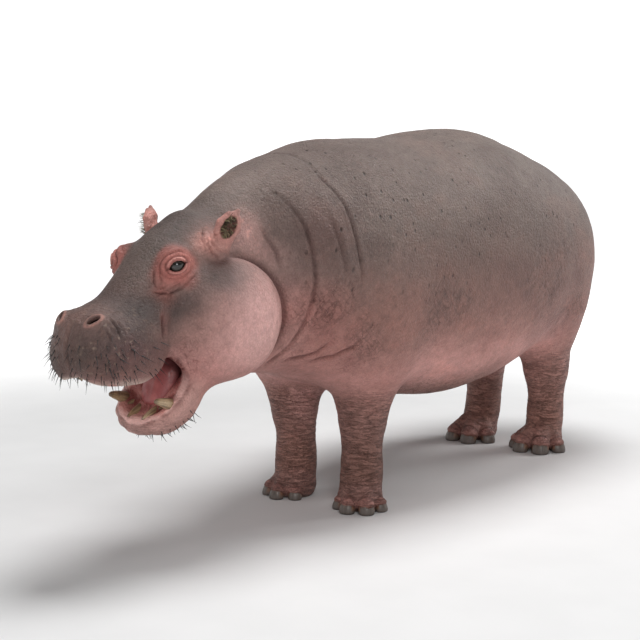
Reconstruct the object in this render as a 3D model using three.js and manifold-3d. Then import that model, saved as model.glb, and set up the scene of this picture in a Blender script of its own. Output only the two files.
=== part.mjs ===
// Hippopotamus (Hippopotamus amphibius), adult, life size: a still museum model.
// Standing square on four feet, head held level and pushed forward, mouth half open.
// Frame: millimetres, +Z up, the floor at z = 0. The animal faces -Y, its left side is +X,
// and the pose is mirror-symmetric about the plane x = 0.
//
// The body is one smooth form, written as a distance-like field: a lofted trunk and skull,
// with rounded muscles, limbs, jowls, lips and toes blended into it. The field is turned
// into a closed faceted solid region by region, and the regions are parted with thin
// straight cuts: trunk, neck, head, lower jaw, ears, tail and four legs. Eyes, tongue,
// teeth and toenails are separate solids set into pockets of the flesh.

import * as THREE from 'three';
import { mergeVertices } from 'three/addons/utils/BufferGeometryUtils.js';
import Module from 'manifold-3d';

const wasm = await Module();
wasm.setup();

// ---------------------------------------------------------------- driving dimensions (mm)
const GAP = 0.4;                 // clearance left by every cut
const SLIVER = 0.05;             // corners closer than this are one
const STEP = { trunk: 136, neck: 106, head: 71, jaw: 45, ear: 22, tail: 44, leg: 61, tongue: 44 };   // facet sizes
const FULLNESS = 2.0;            // facets stand this far out, so that their chords straddle the true form
const ORIGIN_Y = 431.35;          // moves the middle of the whole length to y = 0

const FORE_STANCE = { x: 182, y: -634 };   // middle of each front foot
const HIND_STANCE = { x: 188, y: 872 };    // middle of each hind foot
const FORE_TOE_REACH = 106;      // foot middle to toe tips
const HIND_TOE_REACH = 134;
const FORE_FOOT_SPLAY = 26;      // degrees, turned outward
const HIND_FOOT_SPLAY = 8;
const FORE_TOE_RADIUS = 34;
const HIND_TOE_RADIUS = 42;
const TOE_ANGLES = [-62, -20, 20, 62];     // degrees about the foot middle, from straight ahead
const SHANK_RADIUS_FORE = 82;
const SHANK_RADIUS_HIND = 83;

const GAPE = 45;                 // degrees, how far the lower jaw slopes down
const JAW_HINGE = { y: -1450, z: 850 };
const EYE_RADIUS = 31;
const EYE_CENTRE = [147.5, -1703, 1108];
const TUSK_RADIUS = 23;          // lower canines, the widest point
const INCISOR_RADIUS = 17;
const EAR_TURN = 52;             // degrees, how far the ear's cup faces outward
const EAR_LEAN = 28;             // degrees, how far the ear leans out
const MUZZLE = { y: -1901, z: 838, halfWidth: 188, halfLength: 196, halfHeight: 142 };

// Trunk sections along Y: station, height of the widest line, half width,
// height above and depth below that line, and roundness (2 = ellipse, more = squarer).
const TRUNK = [
  [-1600, 1020, 110, 140, 200, 2.00],
  [-1500, 1010, 158, 247, 290, 2.05],
  [-1380, 1010, 190, 342, 350, 2.10],
  [-1250, 1020, 226, 399, 380, 2.10],
  [-1100, 1020, 338, 452, 394, 2.10],
  [-920, 1010, 399, 504, 433, 2.15],
  [-720, 1000, 442, 558, 480, 2.20],
  [-500, 990, 476, 573, 526, 2.25],
  [-250, 980, 498, 586, 560, 2.25],
  [0, 970, 513, 625, 579, 2.25],
  [220, 970, 520, 638, 564, 2.25],
  [450, 980, 516, 585, 524, 2.20],
  [660, 1000, 494, 509, 476, 2.15],
  [820, 1010, 458, 452, 420, 2.10],
  [950, 1010, 391, 367, 347, 2.05],
  [1050, 1000, 305, 279, 267, 2.00],
  [1115, 990, 200, 176, 176, 2.00],
  [1143, 985, 70, 60, 60, 2.00],
];
// Skull and bridge of the nose, the same columns.
const SKULL = [
  [-2055, 895, 40, 35, 50, 2.0],
  [-2030, 895, 70, 58, 70, 2.0],
  [-1985, 895, 92, 80, 90, 2.0],
  [-1928, 895, 108, 101, 110, 2.1],
  [-1858, 915, 116, 131, 130, 2.1],
  [-1772, 955, 128, 174, 160, 2.1],
  [-1680, 1000, 147, 213, 180, 2.1],
  [-1588, 1020, 169, 243, 210, 2.1],
  [-1500, 1030, 178, 268, 220, 2.1],
  [-1400, 1030, 150, 266, 200, 2.1],
  [-1300, 1030, 80, 184, 120, 2.1],
];

// ---------------------------------------------------------------- field of rounded forms
const rad = (d) => (d * Math.PI) / 180;
const smin = (a, b, k) => { const h = Math.max(k - Math.abs(a - b), 0) / k; return Math.min(a, b) - h * h * k * 0.25; };
const smax = (a, b, k) => -smin(-a, -b, k);

// An ellipsoid: centre, radii, tilt [pitch, yaw, roll] in degrees, blend width, roundness.
function ell(c, r, tilt = [0, 0, 0], blend = 30, n = 2, sign = 1) {
  const e = new THREE.Matrix4().makeRotationZ(rad(tilt[1]))
    .multiply(new THREE.Matrix4().makeRotationX(rad(tilt[0])))
    .multiply(new THREE.Matrix4().makeRotationY(rad(tilt[2]))).elements;
  const reach = Math.max(...r) + blend + 20;
  return {
    blend, sign, side: Math.abs(c[0]) > 1e-6 && c[0] - Math.max(...r) < blend,
    near: (x, y, z) => Math.abs(x - c[0]) < reach && Math.abs(y - c[1]) < reach && Math.abs(z - c[2]) < reach,
    at(x, y, z) {
      const dx = x - c[0], dy = y - c[1], dz = z - c[2];
      const p = e[0] * dx + e[1] * dy + e[2] * dz, q = e[4] * dx + e[5] * dy + e[6] * dz, s = e[8] * dx + e[9] * dy + e[10] * dz;
      const a = Math.abs(p) / r[0], b = Math.abs(q) / r[1], g = Math.abs(s) / r[2];
      const k0 = Math.pow(a ** n + b ** n + g ** n, 1 / n) + 1e-9;
      if (k0 < 0.05) return -Math.min(...r);
      const m = Math.hypot(a ** (n - 1) / r[0], b ** (n - 1) / r[1], g ** (n - 1) / r[2]) / k0 ** (n - 1) + 1e-9;
      return n === 2 ? (k0 * (k0 - 1)) / (Math.hypot(p / r[0] ** 2, q / r[1] ** 2, s / r[2] ** 2) + 1e-12) : (k0 - 1) / m;
    },
  };
}
// A round-ended limb that tapers from one ball to another.
function limb(a, b, ra, rb, blend = 30, sign = 1) {
  const d = [b[0] - a[0], b[1] - a[1], b[2] - a[2]], L = d[0] ** 2 + d[1] ** 2 + d[2] ** 2;
  const reach = Math.max(ra, rb) + blend + 20;
  const lo = a.map((v, i) => Math.min(v, b[i]) - reach), hi = a.map((v, i) => Math.max(v, b[i]) + reach);
  return {
    blend, sign, side: Math.abs(a[0]) > 1e-6 && Math.min(a[0], b[0]) - Math.max(ra, rb) < blend && a[0] * b[0] >= 0,
    near: (x, y, z) => x > lo[0] && x < hi[0] && y > lo[1] && y < hi[1] && z > lo[2] && z < hi[2],
    at(x, y, z) {
      const t = Math.min(1, Math.max(0, ((x - a[0]) * d[0] + (y - a[1]) * d[1] + (z - a[2]) * d[2]) / L));
      return Math.hypot(x - a[0] - t * d[0], y - a[1] - t * d[1], z - a[2] - t * d[2]) - (ra + (rb - ra) * t);
    },
  };
}
// A loft along Y through a table of sections, with a monotone cubic between the stations.
function loft(table) {
  const ys = table.map((r) => r[0]), m = [1, 2, 3, 4, 5].map((c) => {
    const v = table.map((r) => r[c]), h = ys.slice(1).map((y, i) => y - ys[i]), d = h.map((s, i) => (v[i + 1] - v[i]) / s);
    const t = v.map((_, i) => {
      if (i === 0) return d[0];
      if (i === v.length - 1) return d[d.length - 1];
      if (d[i - 1] * d[i] <= 0) return 0;
      const w1 = 2 * h[i] + h[i - 1], w2 = h[i] + 2 * h[i - 1];
      return (w1 + w2) / (w1 / d[i - 1] + w2 / d[i]);
    });
    return { v, t };
  });
  const col = (c, i, s, h) => {
    const { v, t } = m[c], s2 = s * s, s3 = s2 * s;
    return (2 * s3 - 3 * s2 + 1) * v[i] + (s3 - 2 * s2 + s) * h * t[i] + (3 * s2 - 2 * s3) * v[i + 1] + (s3 - s2) * h * t[i + 1];
  };
  return (x, y, z) => {
    const yc = Math.min(ys[ys.length - 1], Math.max(ys[0], y));
    let i = 0;
    while (i < ys.length - 2 && yc >= ys[i + 1]) i++;
    const h = ys[i + 1] - ys[i], s = (yc - ys[i]) / h;
    const zc = col(0, i, s, h), w = col(1, i, s, h), n = col(4, i, s, h), dz = z - zc;
    const q = dz > 0 ? col(2, i, s, h) : col(3, i, s, h);
    const a = Math.abs(x) / w, b = Math.abs(dz) / q, r = Math.pow(a ** n + b ** n, 1 / n) + 1e-6;
    const g = Math.hypot((a / r) ** (n - 1) / w, (b / r) ** (n - 1) / q) + 1e-9;
    const f = r < 0.15 ? -Math.min(w, q) * 0.85 : (r - 1) / g;
    return Math.max(f, ys[0] - y, y - ys[ys.length - 1]);
  };
}
// Blends a list of forms into a value; each is evaluated on the left half, and on its
// mirror image too where it reaches the middle plane.
function blendIn(f, forms, x, y, z) {
  for (const o of forms) {
    for (const s of o.side ? [1, -1] : [1]) {
      if (!o.near(s * x, y, z)) continue;
      const d = o.at(s * x, y, z);
      f = o.sign > 0 ? smin(f, d, o.blend) : smax(f, -d, o.blend);
    }
  }
  return f;
}
// A point in the lower jaw's own frame: u forward along the jaw, w up out of it.
const jaw = (u, w, x = 0) => {
  const c = Math.cos(rad(GAPE)), s = Math.sin(rad(GAPE));
  return [x, JAW_HINGE.y - c * u - s * w, JAW_HINGE.z - s * u + c * w];
};

// ---------------------------------------------------------------- the animal's forms
const shoulders = [ell([227, -657, 850], [175, 237, 353], [0, 0, 8], 120)];
const haunches = [ell([236, 786, 885], [196, 268, 400], [0, 0, 6], 120)];
const foreleg = [
  limb([235, -652, 720], [197, -638, 400], 148, 85, 110),
  limb([184, -643, 440], [181, -634, 160], 97, SHANK_RADIUS_FORE, 60),
  limb([183, -640, 180], [FORE_STANCE.x, FORE_STANCE.y - 12, 60], 78, 95, 40),
];
const hindleg = [
  limb([224, 804, 740], [192, 890, 420], 163, 102, 120),
  limb([181, 918, 440], [186, 914, 160], 107, SHANK_RADIUS_HIND, 60),
  limb([184, 900, 180], [HIND_STANCE.x + 4, HIND_STANCE.y + 8, 60], 79, 97, 40),
];
function toeTips(stance, reach, splay, radius) {
  return TOE_ANGLES.map((deg) => {
    const a = rad(deg + splay), outer = Math.abs(deg) > 40;
    return { a, x: stance.x + Math.sin(a) * reach * (outer ? 0.88 : 1.03), y: stance.y - Math.cos(a) * reach * (outer ? 0.88 : 1.03),
      x0: stance.x + Math.sin(a) * 50, y0: stance.y - Math.cos(a) * 50, r: radius * (outer ? 0.92 : 1.05) };
  });
}
const foreToes = toeTips(FORE_STANCE, FORE_TOE_REACH, FORE_FOOT_SPLAY, FORE_TOE_RADIUS);
const hindToes = toeTips(HIND_STANCE, HIND_TOE_REACH, HIND_FOOT_SPLAY, HIND_TOE_RADIUS);
const toes = [...foreToes, ...hindToes].map((t) => limb([t.x0, t.y0, 2.2 * t.r], [t.x, t.y, 0.95 * t.r], 1.12 * t.r, t.r, 12));
const tailForms = [
  limb([0, 1085, 1150], [0, 1172, 1040], 66, 42, 45),
  limb([0, 1172, 1040], [0, 1202, 880], 42, 31, 20),
  limb([0, 1202, 880], [0, 1198, 720], 31, 21, 20),
];
const cheeks = [
  ell([181, -1454, 893], [136, 246, 225], [-14, 0, 0], 30),
  ell([110, -1561, 806], [83, 196, 138], [-40, 0, 0], 70),
  limb([120, -1600, 980], [115, -1740, 860], 75, 62, 60),
];
const mandible = [
  limb(jaw(100, -10, 75), jaw(318, -42, 95), 75, 52, 50),
  ell(jaw(308, -52), [157, 151, 68], [45, 0, 0], 40, 2.5),
];
const LIP_RIM = [[230, 135, -16], [300, 142, -16], [355, 135, -16], [405, 113, -18], [437, 76, -20], [452, 36, -22], [455, 0, -23]];
const lowerLip = LIP_RIM.slice(1).map((p, i) => limb(jaw(LIP_RIM[i][0], LIP_RIM[i][2], LIP_RIM[i][1]), jaw(p[0], p[2], p[1]), 30, 30, 20));
const mouth = [
  limb(jaw(412, 113, -400), jaw(412, 113, 400), 133, 133, 20, -1),
  ell(jaw(215, 70), [118, 205, 85], [45, 0, 0], 30, 2, -1),
  limb(jaw(160, 85), jaw(20, 100), 60, 35, 30, -1),
];
// gum pads that the lower teeth stand in
const gums = [
  ell(jaw(352, -20, 112), [34, 44, 30], [45, 0, 0], 18),
  ell(jaw(372, -28, 36), [30, 48, 26], [45, 0, 0], 18),
  ell(jaw(366, -26, 76), [20, 34, 22], [45, 0, 0], 15),
];
const face = [
  ell([0, MUZZLE.y, MUZZLE.z], [MUZZLE.halfWidth, MUZZLE.halfLength, MUZZLE.halfHeight], [4, 0, 0], 40, 2.2),
  ell([113, -1892, 783], [82, 136, 86], [0, 6, 0], 45),        // upper-lip lobe
  ell([75, -1983, 795], [85, 95, 103], [0, 0, 0], 35),         // front pad of the lip
  ell([85, -2006, 910], [48, 59, 44], [10, -14, 0], 30),       // nostril lobe
  limb([104, -1600, 980], [97, -1822, 880], 96, 78, 60),       // side of the face
  ell([123, -1685, 1104], [51, 67, 70], [0, 0, 0], 45),        // raised orbit
];
const palate = [ell([0, -1895, 690], [128, 165, 62], [4, 0, 0], 20, 2.6, -1)];
const ears = [
  limb([150, -1492, 1156], [186, -1486, 1206], 48, 36, 30),
  ell([202, -1486, 1240], [42, 23, 54], [0, EAR_TURN, EAR_LEAN], 16),
  limb([212, -1474, 1266], [230, -1459, 1299], 25, 8, 14),
  limb([181, -1526, 1225], [193, -1517, 1258], 12, 13, 9),
  limb([193, -1517, 1258], [213, -1491, 1288], 13, 10, 9),
  limb([216, -1481, 1199], [232, -1463, 1230], 8, 9, 8),
  limb([232, -1463, 1230], [235, -1462, 1271], 9, 8, 8),
  ell([215, -1496, 1239], [25, 24, 43], [0, EAR_TURN, EAR_LEAN], 8, 2, -1),
];
const trunkLoft = loft(TRUNK), skullLoft = loft(SKULL);
const bodyForms = [...shoulders, ...haunches, ...foreleg, ...hindleg, ...toes, ...tailForms];

function body(x, y, z) {
  x = Math.abs(x);
  let f = blendIn(trunkLoft(x, y, z), bodyForms, x, y, z);
  if (y < -1000) {
    f = blendIn(f, cheeks, x, y, z);
    f = smin(f, blendIn(1000, mandible, x, y, z), 50);
    f = blendIn(f, [...mouth, ...lowerLip, ...gums], x, y, z);
    f = smin(f, blendIn(blendIn(skullLoft(x, y, z), face, x, y, z), palate, x, y, z), 35);
    f = blendIn(f, ears, x, y, z);
  }
  return f;
}

// ---------------------------------------------------------------- field to closed solid
// One vertex per grid cell that the surface crosses, one quad per crossed grid edge; the
// vertices are then moved onto the surface. The box's outer layer is forced outside, so the
// result is closed, and the region's straight cuts are made afterwards.
function skinRegion(field, lo, hi, step) {
  const n = [0, 1, 2].map((i) => Math.max(2, Math.round((hi[i] - lo[i]) / step)) + 1);
  const h = [0, 1, 2].map((i) => (hi[i] - lo[i]) / (n[i] - 1));
  const P = (i, j, k) => [lo[0] + i * h[0], lo[1] + j * h[1], lo[2] + k * h[2]];
  const id = (i, j, k) => (i * n[1] + j) * n[2] + k;
  const F = new Float64Array(n[0] * n[1] * n[2]);
  for (let i = 0; i < n[0]; i++) for (let j = 0; j < n[1]; j++) for (let k = 0; k < n[2]; k++) {
    const edge = i === 0 || j === 0 || k === 0 || i === n[0] - 1 || j === n[1] - 1 || k === n[2] - 1;
    const v = field(...P(i, j, k));
    F[id(i, j, k)] = edge ? Math.max(v, 1) : v;
  }
  const vert = new Map(), pos = [], free = [];
  const E = [[0, 1], [2, 3], [4, 5], [6, 7], [0, 2], [1, 3], [4, 6], [5, 7], [0, 4], [1, 5], [2, 6], [3, 7]];
  for (let i = 0; i < n[0] - 1; i++) for (let j = 0; j < n[1] - 1; j++) for (let k = 0; k < n[2] - 1; k++) {
    const c = [], v = [];
    for (let q = 0; q < 8; q++) { const a = i + (q & 1), b = j + ((q >> 1) & 1), g = k + (q >> 2); c.push(P(a, b, g)); v.push(F[id(a, b, g)]); }
    const inside = v.filter((s) => s < 0).length;
    if (inside === 0 || inside === 8) continue;
    let m = 0; const s = [0, 0, 0];
    for (const [a, b] of E) if ((v[a] < 0) !== (v[b] < 0)) {
      const t = v[a] / (v[a] - v[b]);
      for (let q = 0; q < 3; q++) s[q] += c[a][q] + t * (c[b][q] - c[a][q]);
      m++;
    }
    vert.set(id(i, j, k), pos.length);
    pos.push(s.map((q) => q / m));
    free.push(i > 0 && j > 0 && k > 0 && i < n[0] - 2 && j < n[1] - 2 && k < n[2] - 2);
  }
  for (let pass = 0; pass < 3; pass++) pos.forEach((p, q) => {
    if (!free[q]) return;
    const e = 1, f = field(...p);
    const g = [0, 1, 2].map((a) => { const u = [...p], w = [...p]; u[a] += e; w[a] -= e; return (field(...u) - field(...w)) / (2 * e); });
    const gg = Math.max(g[0] ** 2 + g[1] ** 2 + g[2] ** 2, 0.1), lim = step * 0.25;
    const st = g.map((v) => (f * v) / gg), len = Math.hypot(...st), sc = len > lim ? lim / len : 1;
    for (let a = 0; a < 3; a++) p[a] -= st[a] * sc;
  });
  const tri = [];
  const quad = (a, b, c, d, flip) => {
    const v = [a, b, c, d].map((q) => vert.get(q));
    if (flip) v.reverse();
    const d1 = Math.hypot(...[0, 1, 2].map((q) => pos[v[0]][q] - pos[v[2]][q])), d2 = Math.hypot(...[0, 1, 2].map((q) => pos[v[1]][q] - pos[v[3]][q]));
    if (d1 <= d2) tri.push(v[0], v[1], v[2], v[0], v[2], v[3]); else tri.push(v[1], v[2], v[3], v[1], v[3], v[0]);
  };
  for (let i = 0; i < n[0] - 1; i++) for (let j = 0; j < n[1] - 1; j++) for (let k = 0; k < n[2] - 1; k++) {
    const s0 = F[id(i, j, k)] < 0;
    if (j > 0 && k > 0 && s0 !== F[id(i + 1, j, k)] < 0) quad(id(i, j - 1, k - 1), id(i, j, k - 1), id(i, j, k), id(i, j - 1, k), !s0);
    if (i > 0 && k > 0 && s0 !== F[id(i, j + 1, k)] < 0) quad(id(i - 1, j, k - 1), id(i - 1, j, k), id(i, j, k), id(i, j, k - 1), !s0);
    if (i > 0 && j > 0 && s0 !== F[id(i, j, k + 1)] < 0) quad(id(i - 1, j - 1, k), id(i, j - 1, k), id(i, j, k), id(i - 1, j, k), !s0);
  }
  const g = new THREE.BufferGeometry();
  g.setAttribute('position', new THREE.BufferAttribute(new Float32Array(pos.flat()), 3));
  g.setIndex(tri);
  return g;
}

// Where a fold is about as fine as the grid, four faces can meet at one edge; then the grid
// is made slightly finer until every edge has just two.
function cleanSkin(field, lo, hi, step) {
  for (let tries = 0; tries < 30; tries++) {
    const g = skinRegion(field, lo, hi, step * (1 - 0.012 * tries)), t = g.index.array, uses = new Map();
    for (let i = 0; i < t.length; i += 3) for (const [a, b] of [[t[i], t[i + 1]], [t[i + 1], t[i + 2]], [t[i + 2], t[i]]]) {
      const e = Math.min(a, b) * 1e6 + Math.max(a, b);
      uses.set(e, (uses.get(e) || 0) + 1);
    }
    if ([...uses.values()].every((n) => n === 2)) return g;
  }
  throw new Error('no clean grid for this region');
}

// ---------------------------------------------------------------- solids, cuts and joins
function solid(geometry, matrix) {
  let g = geometry.clone();
  if (matrix) g.applyMatrix4(matrix);
  g.deleteAttribute('normal'); g.deleteAttribute('uv');
  g = mergeVertices(g, 1e-3);
  const m = new wasm.Manifold(new wasm.Mesh({ numProp: 3, vertProperties: new Float32Array(g.attributes.position.array), triVerts: new Uint32Array(g.index.array) }));
  return m;
}
function toGeometry(m) {
  const mesh = m.getMesh(), g = new THREE.BufferGeometry(), np = mesh.numProp, nv = mesh.vertProperties.length / np;
  const p = new Float32Array(nv * 3);
  for (let i = 0; i < nv; i++) for (let c = 0; c < 3; c++) p[3 * i + c] = mesh.vertProperties[np * i + c];
  g.setAttribute('position', new THREE.BufferAttribute(p, 3));
  g.setIndex(Array.from(mesh.triVerts));
  return g;
}
// A box from its corners, or from a frame: centre, three axes and half sizes.
const box = (lo, hi, grow = 0) => solid(new THREE.BoxGeometry(hi[0] - lo[0] + 2 * grow, hi[1] - lo[1] + 2 * grow, hi[2] - lo[2] + 2 * grow),
  new THREE.Matrix4().makeTranslation((lo[0] + hi[0]) / 2, (lo[1] + hi[1]) / 2, (lo[2] + hi[2]) / 2));
function framedBox(centre, ax, ay, az, half, grow = 0) {
  const m = new THREE.Matrix4().makeBasis(new THREE.Vector3(...ax), new THREE.Vector3(...ay), new THREE.Vector3(...az)).setPosition(...centre);
  return solid(new THREE.BoxGeometry(2 * (half[0] + grow), 2 * (half[1] + grow), 2 * (half[2] + grow)), m);
}
// A round tapering body along a curve: rings of `sides`, closed with a point at each end.
function taper(points, radii, sides, squash = 1) {
  const curve = new THREE.CatmullRomCurve3(points.map((p) => new THREE.Vector3(...p)));
  const n = radii.length, frames = curve.computeFrenetFrames(n + 1, false), pos = [], idx = [];
  const ring = (k) => curve.getPointAt((k + 1) / (n + 1));
  pos.push(...curve.getPointAt(0).toArray());
  for (let k = 0; k < n; k++) {
    const c = ring(k);
    for (let s = 0; s < sides; s++) {
      const a = (2 * Math.PI * s) / sides;
      const v = c.clone().addScaledVector(frames.normals[k + 1], Math.cos(a) * radii[k]).addScaledVector(frames.binormals[k + 1], Math.sin(a) * radii[k] * squash);
      pos.push(v.x, v.y, v.z);
    }
  }
  pos.push(...curve.getPointAt(1).toArray());
  const last = pos.length / 3 - 1;
  for (let s = 0; s < sides; s++) {
    const t = (s + 1) % sides;
    idx.push(0, 1 + t, 1 + s);
    for (let k = 0; k < n - 1; k++) { const a = 1 + k * sides, b = a + sides; idx.push(a + s, a + t, b + t, a + s, b + t, b + s); }
    const a = 1 + (n - 1) * sides; idx.push(a + s, a + t, last);
  }
  const g = new THREE.BufferGeometry();
  g.setAttribute('position', new THREE.BufferAttribute(new Float32Array(pos), 3));
  g.setIndex(idx);
  return solid(g);
}
const mirrorX = (m) => {
  const g = toGeometry(m), p = g.attributes.position.array, t = Array.from(g.index.array);
  for (let i = 0; i < p.length; i += 3) p[i] = -p[i];
  for (let i = 0; i < t.length; i += 3) [t[i], t[i + 1]] = [t[i + 1], t[i]];
  g.setIndex(t);
  return solid(g);
};

// ---------------------------------------------------------------- colours and finishes
const skin = (color) => new THREE.MeshStandardMaterial({ color, roughness: 0.62, metalness: 0 });
const HIDE = skin(0x8a7773), HIDE_WARM = skin(0xa98880), HIDE_DARK = skin(0x6f625f);
const EYE_GLASS = new THREE.MeshStandardMaterial({ color: 0x4c4a45, roughness: 0.08, metalness: 0 });
const IVORY = new THREE.MeshStandardMaterial({ color: 0xb39b74, roughness: 0.35, metalness: 0 });
const TONGUE = new THREE.MeshStandardMaterial({ color: 0xb0706a, roughness: 0.4, metalness: 0 });
const HORN = new THREE.MeshStandardMaterial({ color: 0x6b605b, roughness: 0.55, metalness: 0 });

const group = new THREE.Group();
group.position.set(0, ORIGIN_Y, 0);
// Corners closer together than a hundredth of a millimetre become one, and the slivers
// between them go; the result has to stay a closed solid.
function tidy(m) {
  const g = toGeometry(m), p = g.attributes.position.array, t = g.index.array, n = p.length / 3;
  const to = Array.from({ length: n }, (_, i) => i), root = (i) => { while (to[i] !== i) i = to[i]; return i; };
  for (let i = 0; i < t.length; i += 3) for (const [a, b] of [[t[i], t[i + 1]], [t[i + 1], t[i + 2]], [t[i + 2], t[i]]]) {
    if (Math.hypot(p[3 * a] - p[3 * b], p[3 * a + 1] - p[3 * b + 1], p[3 * a + 2] - p[3 * b + 2]) < SLIVER) { const u = root(a), v = root(b); if (u !== v) to[Math.max(u, v)] = Math.min(u, v); }
  }
  const keep = [];
  for (let i = 0; i < t.length; i += 3) { const a = root(t[i]), b = root(t[i + 1]), c = root(t[i + 2]); if (a !== b && b !== c && c !== a) keep.push(a, b, c); }
  const used = [...new Set(keep)], at = new Map(used.map((v, i) => [v, i])), q = new Float32Array(used.length * 3);
  used.forEach((v, i) => { for (let c = 0; c < 3; c++) q[3 * i + c] = p[3 * v + c]; });
  const r = new THREE.BufferGeometry();
  r.setAttribute('position', new THREE.BufferAttribute(q, 3));
  r.setIndex(keep.map((v) => at.get(v)));
  try { solid(r); return r; } catch { return g; }
}
const put = (name, m, material) => {
  const mesh = new THREE.Mesh(tidy(m), material);
  mesh.name = name;
  group.add(mesh);
};

// ---------------------------------------------------------------- regions and their cuts
const FLOOR = -4000;
const LEG_TOP_FORE = 440, LEG_TOP_HIND = 500;
const legBox = {
  fore: (s, grow = 0) => box(s > 0 ? [6, -870, FLOOR] : [-520, -870, FLOOR], s > 0 ? [520, -455, LEG_TOP_FORE] : [-6, -455, LEG_TOP_FORE], grow),
  hind: (s, grow = 0) => box(s > 0 ? [6, 630, FLOOR] : [-520, 630, FLOOR], s > 0 ? [520, 1140, LEG_TOP_HIND] : [-6, 1140, LEG_TOP_HIND], grow),
};
const tailBox = (grow = 0) => box([-110, 1149, 600], [110, 1400, 1250], grow);
const NECK_BACK = -1010;                       // straight cut between trunk and neck
const NAPE_TILT = rad(17);                     // the head's cut leans with the jowl
const headBox = (grow = 0) => {
  const c = Math.cos(NAPE_TILT), s = Math.sin(NAPE_TILT), n = [0, -c, -s], up = [0, -s, c];
  const q = [0, -1262, 950];                   // a point on the cut
  return framedBox(q.map((v, i) => v + n[i] * 700), [1, 0, 0], n.map((v) => -v), up, [900, 700, 1500], grow);
};
const jawBox = (grow = 0) => {
  const c = Math.cos(rad(GAPE)), s = Math.sin(rad(GAPE));
  return framedBox(jaw(405, -105), [1, 0, 0], [0, c, s], [0, -s, c], [320, 200, 140], grow);
};
const earBox = (side, grow = 0) => {
  const n = [0.6 * side, 0, 0.8], t = [0.8 * side, 0, -0.6];
  return framedBox([side * (179 + 0.6 * 90), -1492, 1204 + 0.8 * 90], t, [0, side, 0], n.map((v) => v), [62, 62, 90], grow);
};
const ground = () => box([-2000, -4000, 0], [2000, 4000, 3000]);

const skinned = (lo, hi, step) => solid(cleanSkin((x, y, z) => body(x, y, z) - FULLNESS, lo, hi, step));

// eyes
const eyeSolid = (side, grow = 0) => solid(new THREE.SphereGeometry(EYE_RADIUS + grow, 12, 7), new THREE.Matrix4().makeTranslation(side * EYE_CENTRE[0], EYE_CENTRE[1], EYE_CENTRE[2]));

// the slit between the lids, an almond along the eye's own look
const LID_OPENING = { width: 30, height: 21 };
const eyeOpening = (side) => {
  const look = new THREE.Vector3(0.80 * side, -0.58, 0.13).normalize(), up = new THREE.Vector3(0, 0, 1);
  const across = new THREE.Vector3().crossVectors(look, up).normalize(), top = new THREE.Vector3().crossVectors(across, look);
  const c = new THREE.Vector3(side * EYE_CENTRE[0], EYE_CENTRE[1], EYE_CENTRE[2]).addScaledVector(look, 34);
  const g = new THREE.SphereGeometry(1, 9, 5);
  g.scale(LID_OPENING.width, LID_OPENING.height, 36);
  return solid(g, new THREE.Matrix4().makeBasis(across, top, look.negate()).setPosition(c));
};

// lower teeth: tusks lean outward and forward, incisors lie forward; upper teeth hang behind the lip
const tooth = (from, bend, to, r, sides, grow = 0) => taper([from, bend, to],
  [0.9 * r + grow, r + grow, 0.78 * r + grow, 0.42 * r + grow], sides);
const lowerTusk = (g = 0) => tooth(jaw(350, -32, 112), jaw(374, 26, 121), jaw(405, 84, 118), TUSK_RADIUS, 9, g);
const lowerIncisor = (g = 0) => tooth(jaw(352, -36, 38), jaw(404, -4, 40), jaw(451, 18, 38), INCISOR_RADIUS, 7, g);
const sideIncisor = (g = 0) => tooth(jaw(342, -36, 80), jaw(368, -6, 82), jaw(394, 14, 82), 0.62 * INCISOR_RADIUS, 7, g);
const upperTusk = (g = 0) => tooth([106, -1938, 778], [109, -1944, 738], [110, -1944, 696], 17, 7, g);
const upperIncisor = (g = 0) => tooth([34, -2000, 785], [35, -2004, 745], [35, -2000, 706], 12, 7, g);
// tongue: broad at the root, rising to the back, with a groove along the middle
const tongueField = (x, y, z) => {
  x = Math.abs(x);
  let f = blendIn(1000, [
    ell(jaw(300, -10, 0), [66, 70, 34], [45, 0, 0], 40, 2.3),
    ell(jaw(225, 10, 0), [76, 90, 46], [52, 0, 0], 40, 2.3),
    limb(jaw(220, 12, 0), jaw(110, 40, 0), 46, 38, 50)], x, y, z);
  return blendIn(f, [limb(jaw(360, 46, 0), jaw(150, 90, 0), 14, 14, 26, -1)], x, y, z);
};
const tongueSolid = () => solid(cleanSkin(tongueField, [-100, -1760, 560], [100, -1470, 860], STEP.tongue));
// the same solid with every corner moved outward along its normal
const fattened = (m, by) => {
  const g = toGeometry(m);
  g.computeVertexNormals();
  const p = g.attributes.position.array, n = g.attributes.normal.array;
  for (let i = 0; i < p.length; i++) p[i] += by * n[i];
  return solid(g);
};

// toenails: a blunt hoof over the front of each toe, flat on the floor
function nail(t, grow = 0) {
  const m = new THREE.Matrix4().makeRotationZ(t.a).setPosition(t.x + Math.sin(t.a) * t.r * 0.36, t.y - Math.cos(t.a) * t.r * 0.36, t.r * 0.42);
  const g = new THREE.SphereGeometry(1, 8, 5);
  g.scale(t.r * 0.96 + grow, t.r * 0.80 + grow, t.r * 1.16 + grow);
  const tilt = new THREE.Matrix4().makeRotationX(rad(-18));
  return solid(g, m.multiply(tilt)).intersect(box([-2000, -3000, grow ? -50 : 0], [2000, 3000, 200]));
}

// ---------------------------------------------------------------- build the pieces
const trunk = skinned([-640, -1160, 280], [640, 1240, 1700], STEP.trunk).intersect(box([-900, NECK_BACK, -10], [900, 2000, 2000]))
  .subtract(legBox.fore(1, GAP)).subtract(legBox.fore(-1, GAP)).subtract(legBox.hind(1, GAP)).subtract(legBox.hind(-1, GAP)).subtract(tailBox(GAP));
put('trunk', trunk, HIDE);

const neck = skinned([-480, -1480, 440], [480, -880, 1640], STEP.neck).intersect(box([-900, -3000, -10], [900, NECK_BACK - GAP, 2000])).subtract(headBox(GAP));
put('neck', neck, HIDE);

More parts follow.
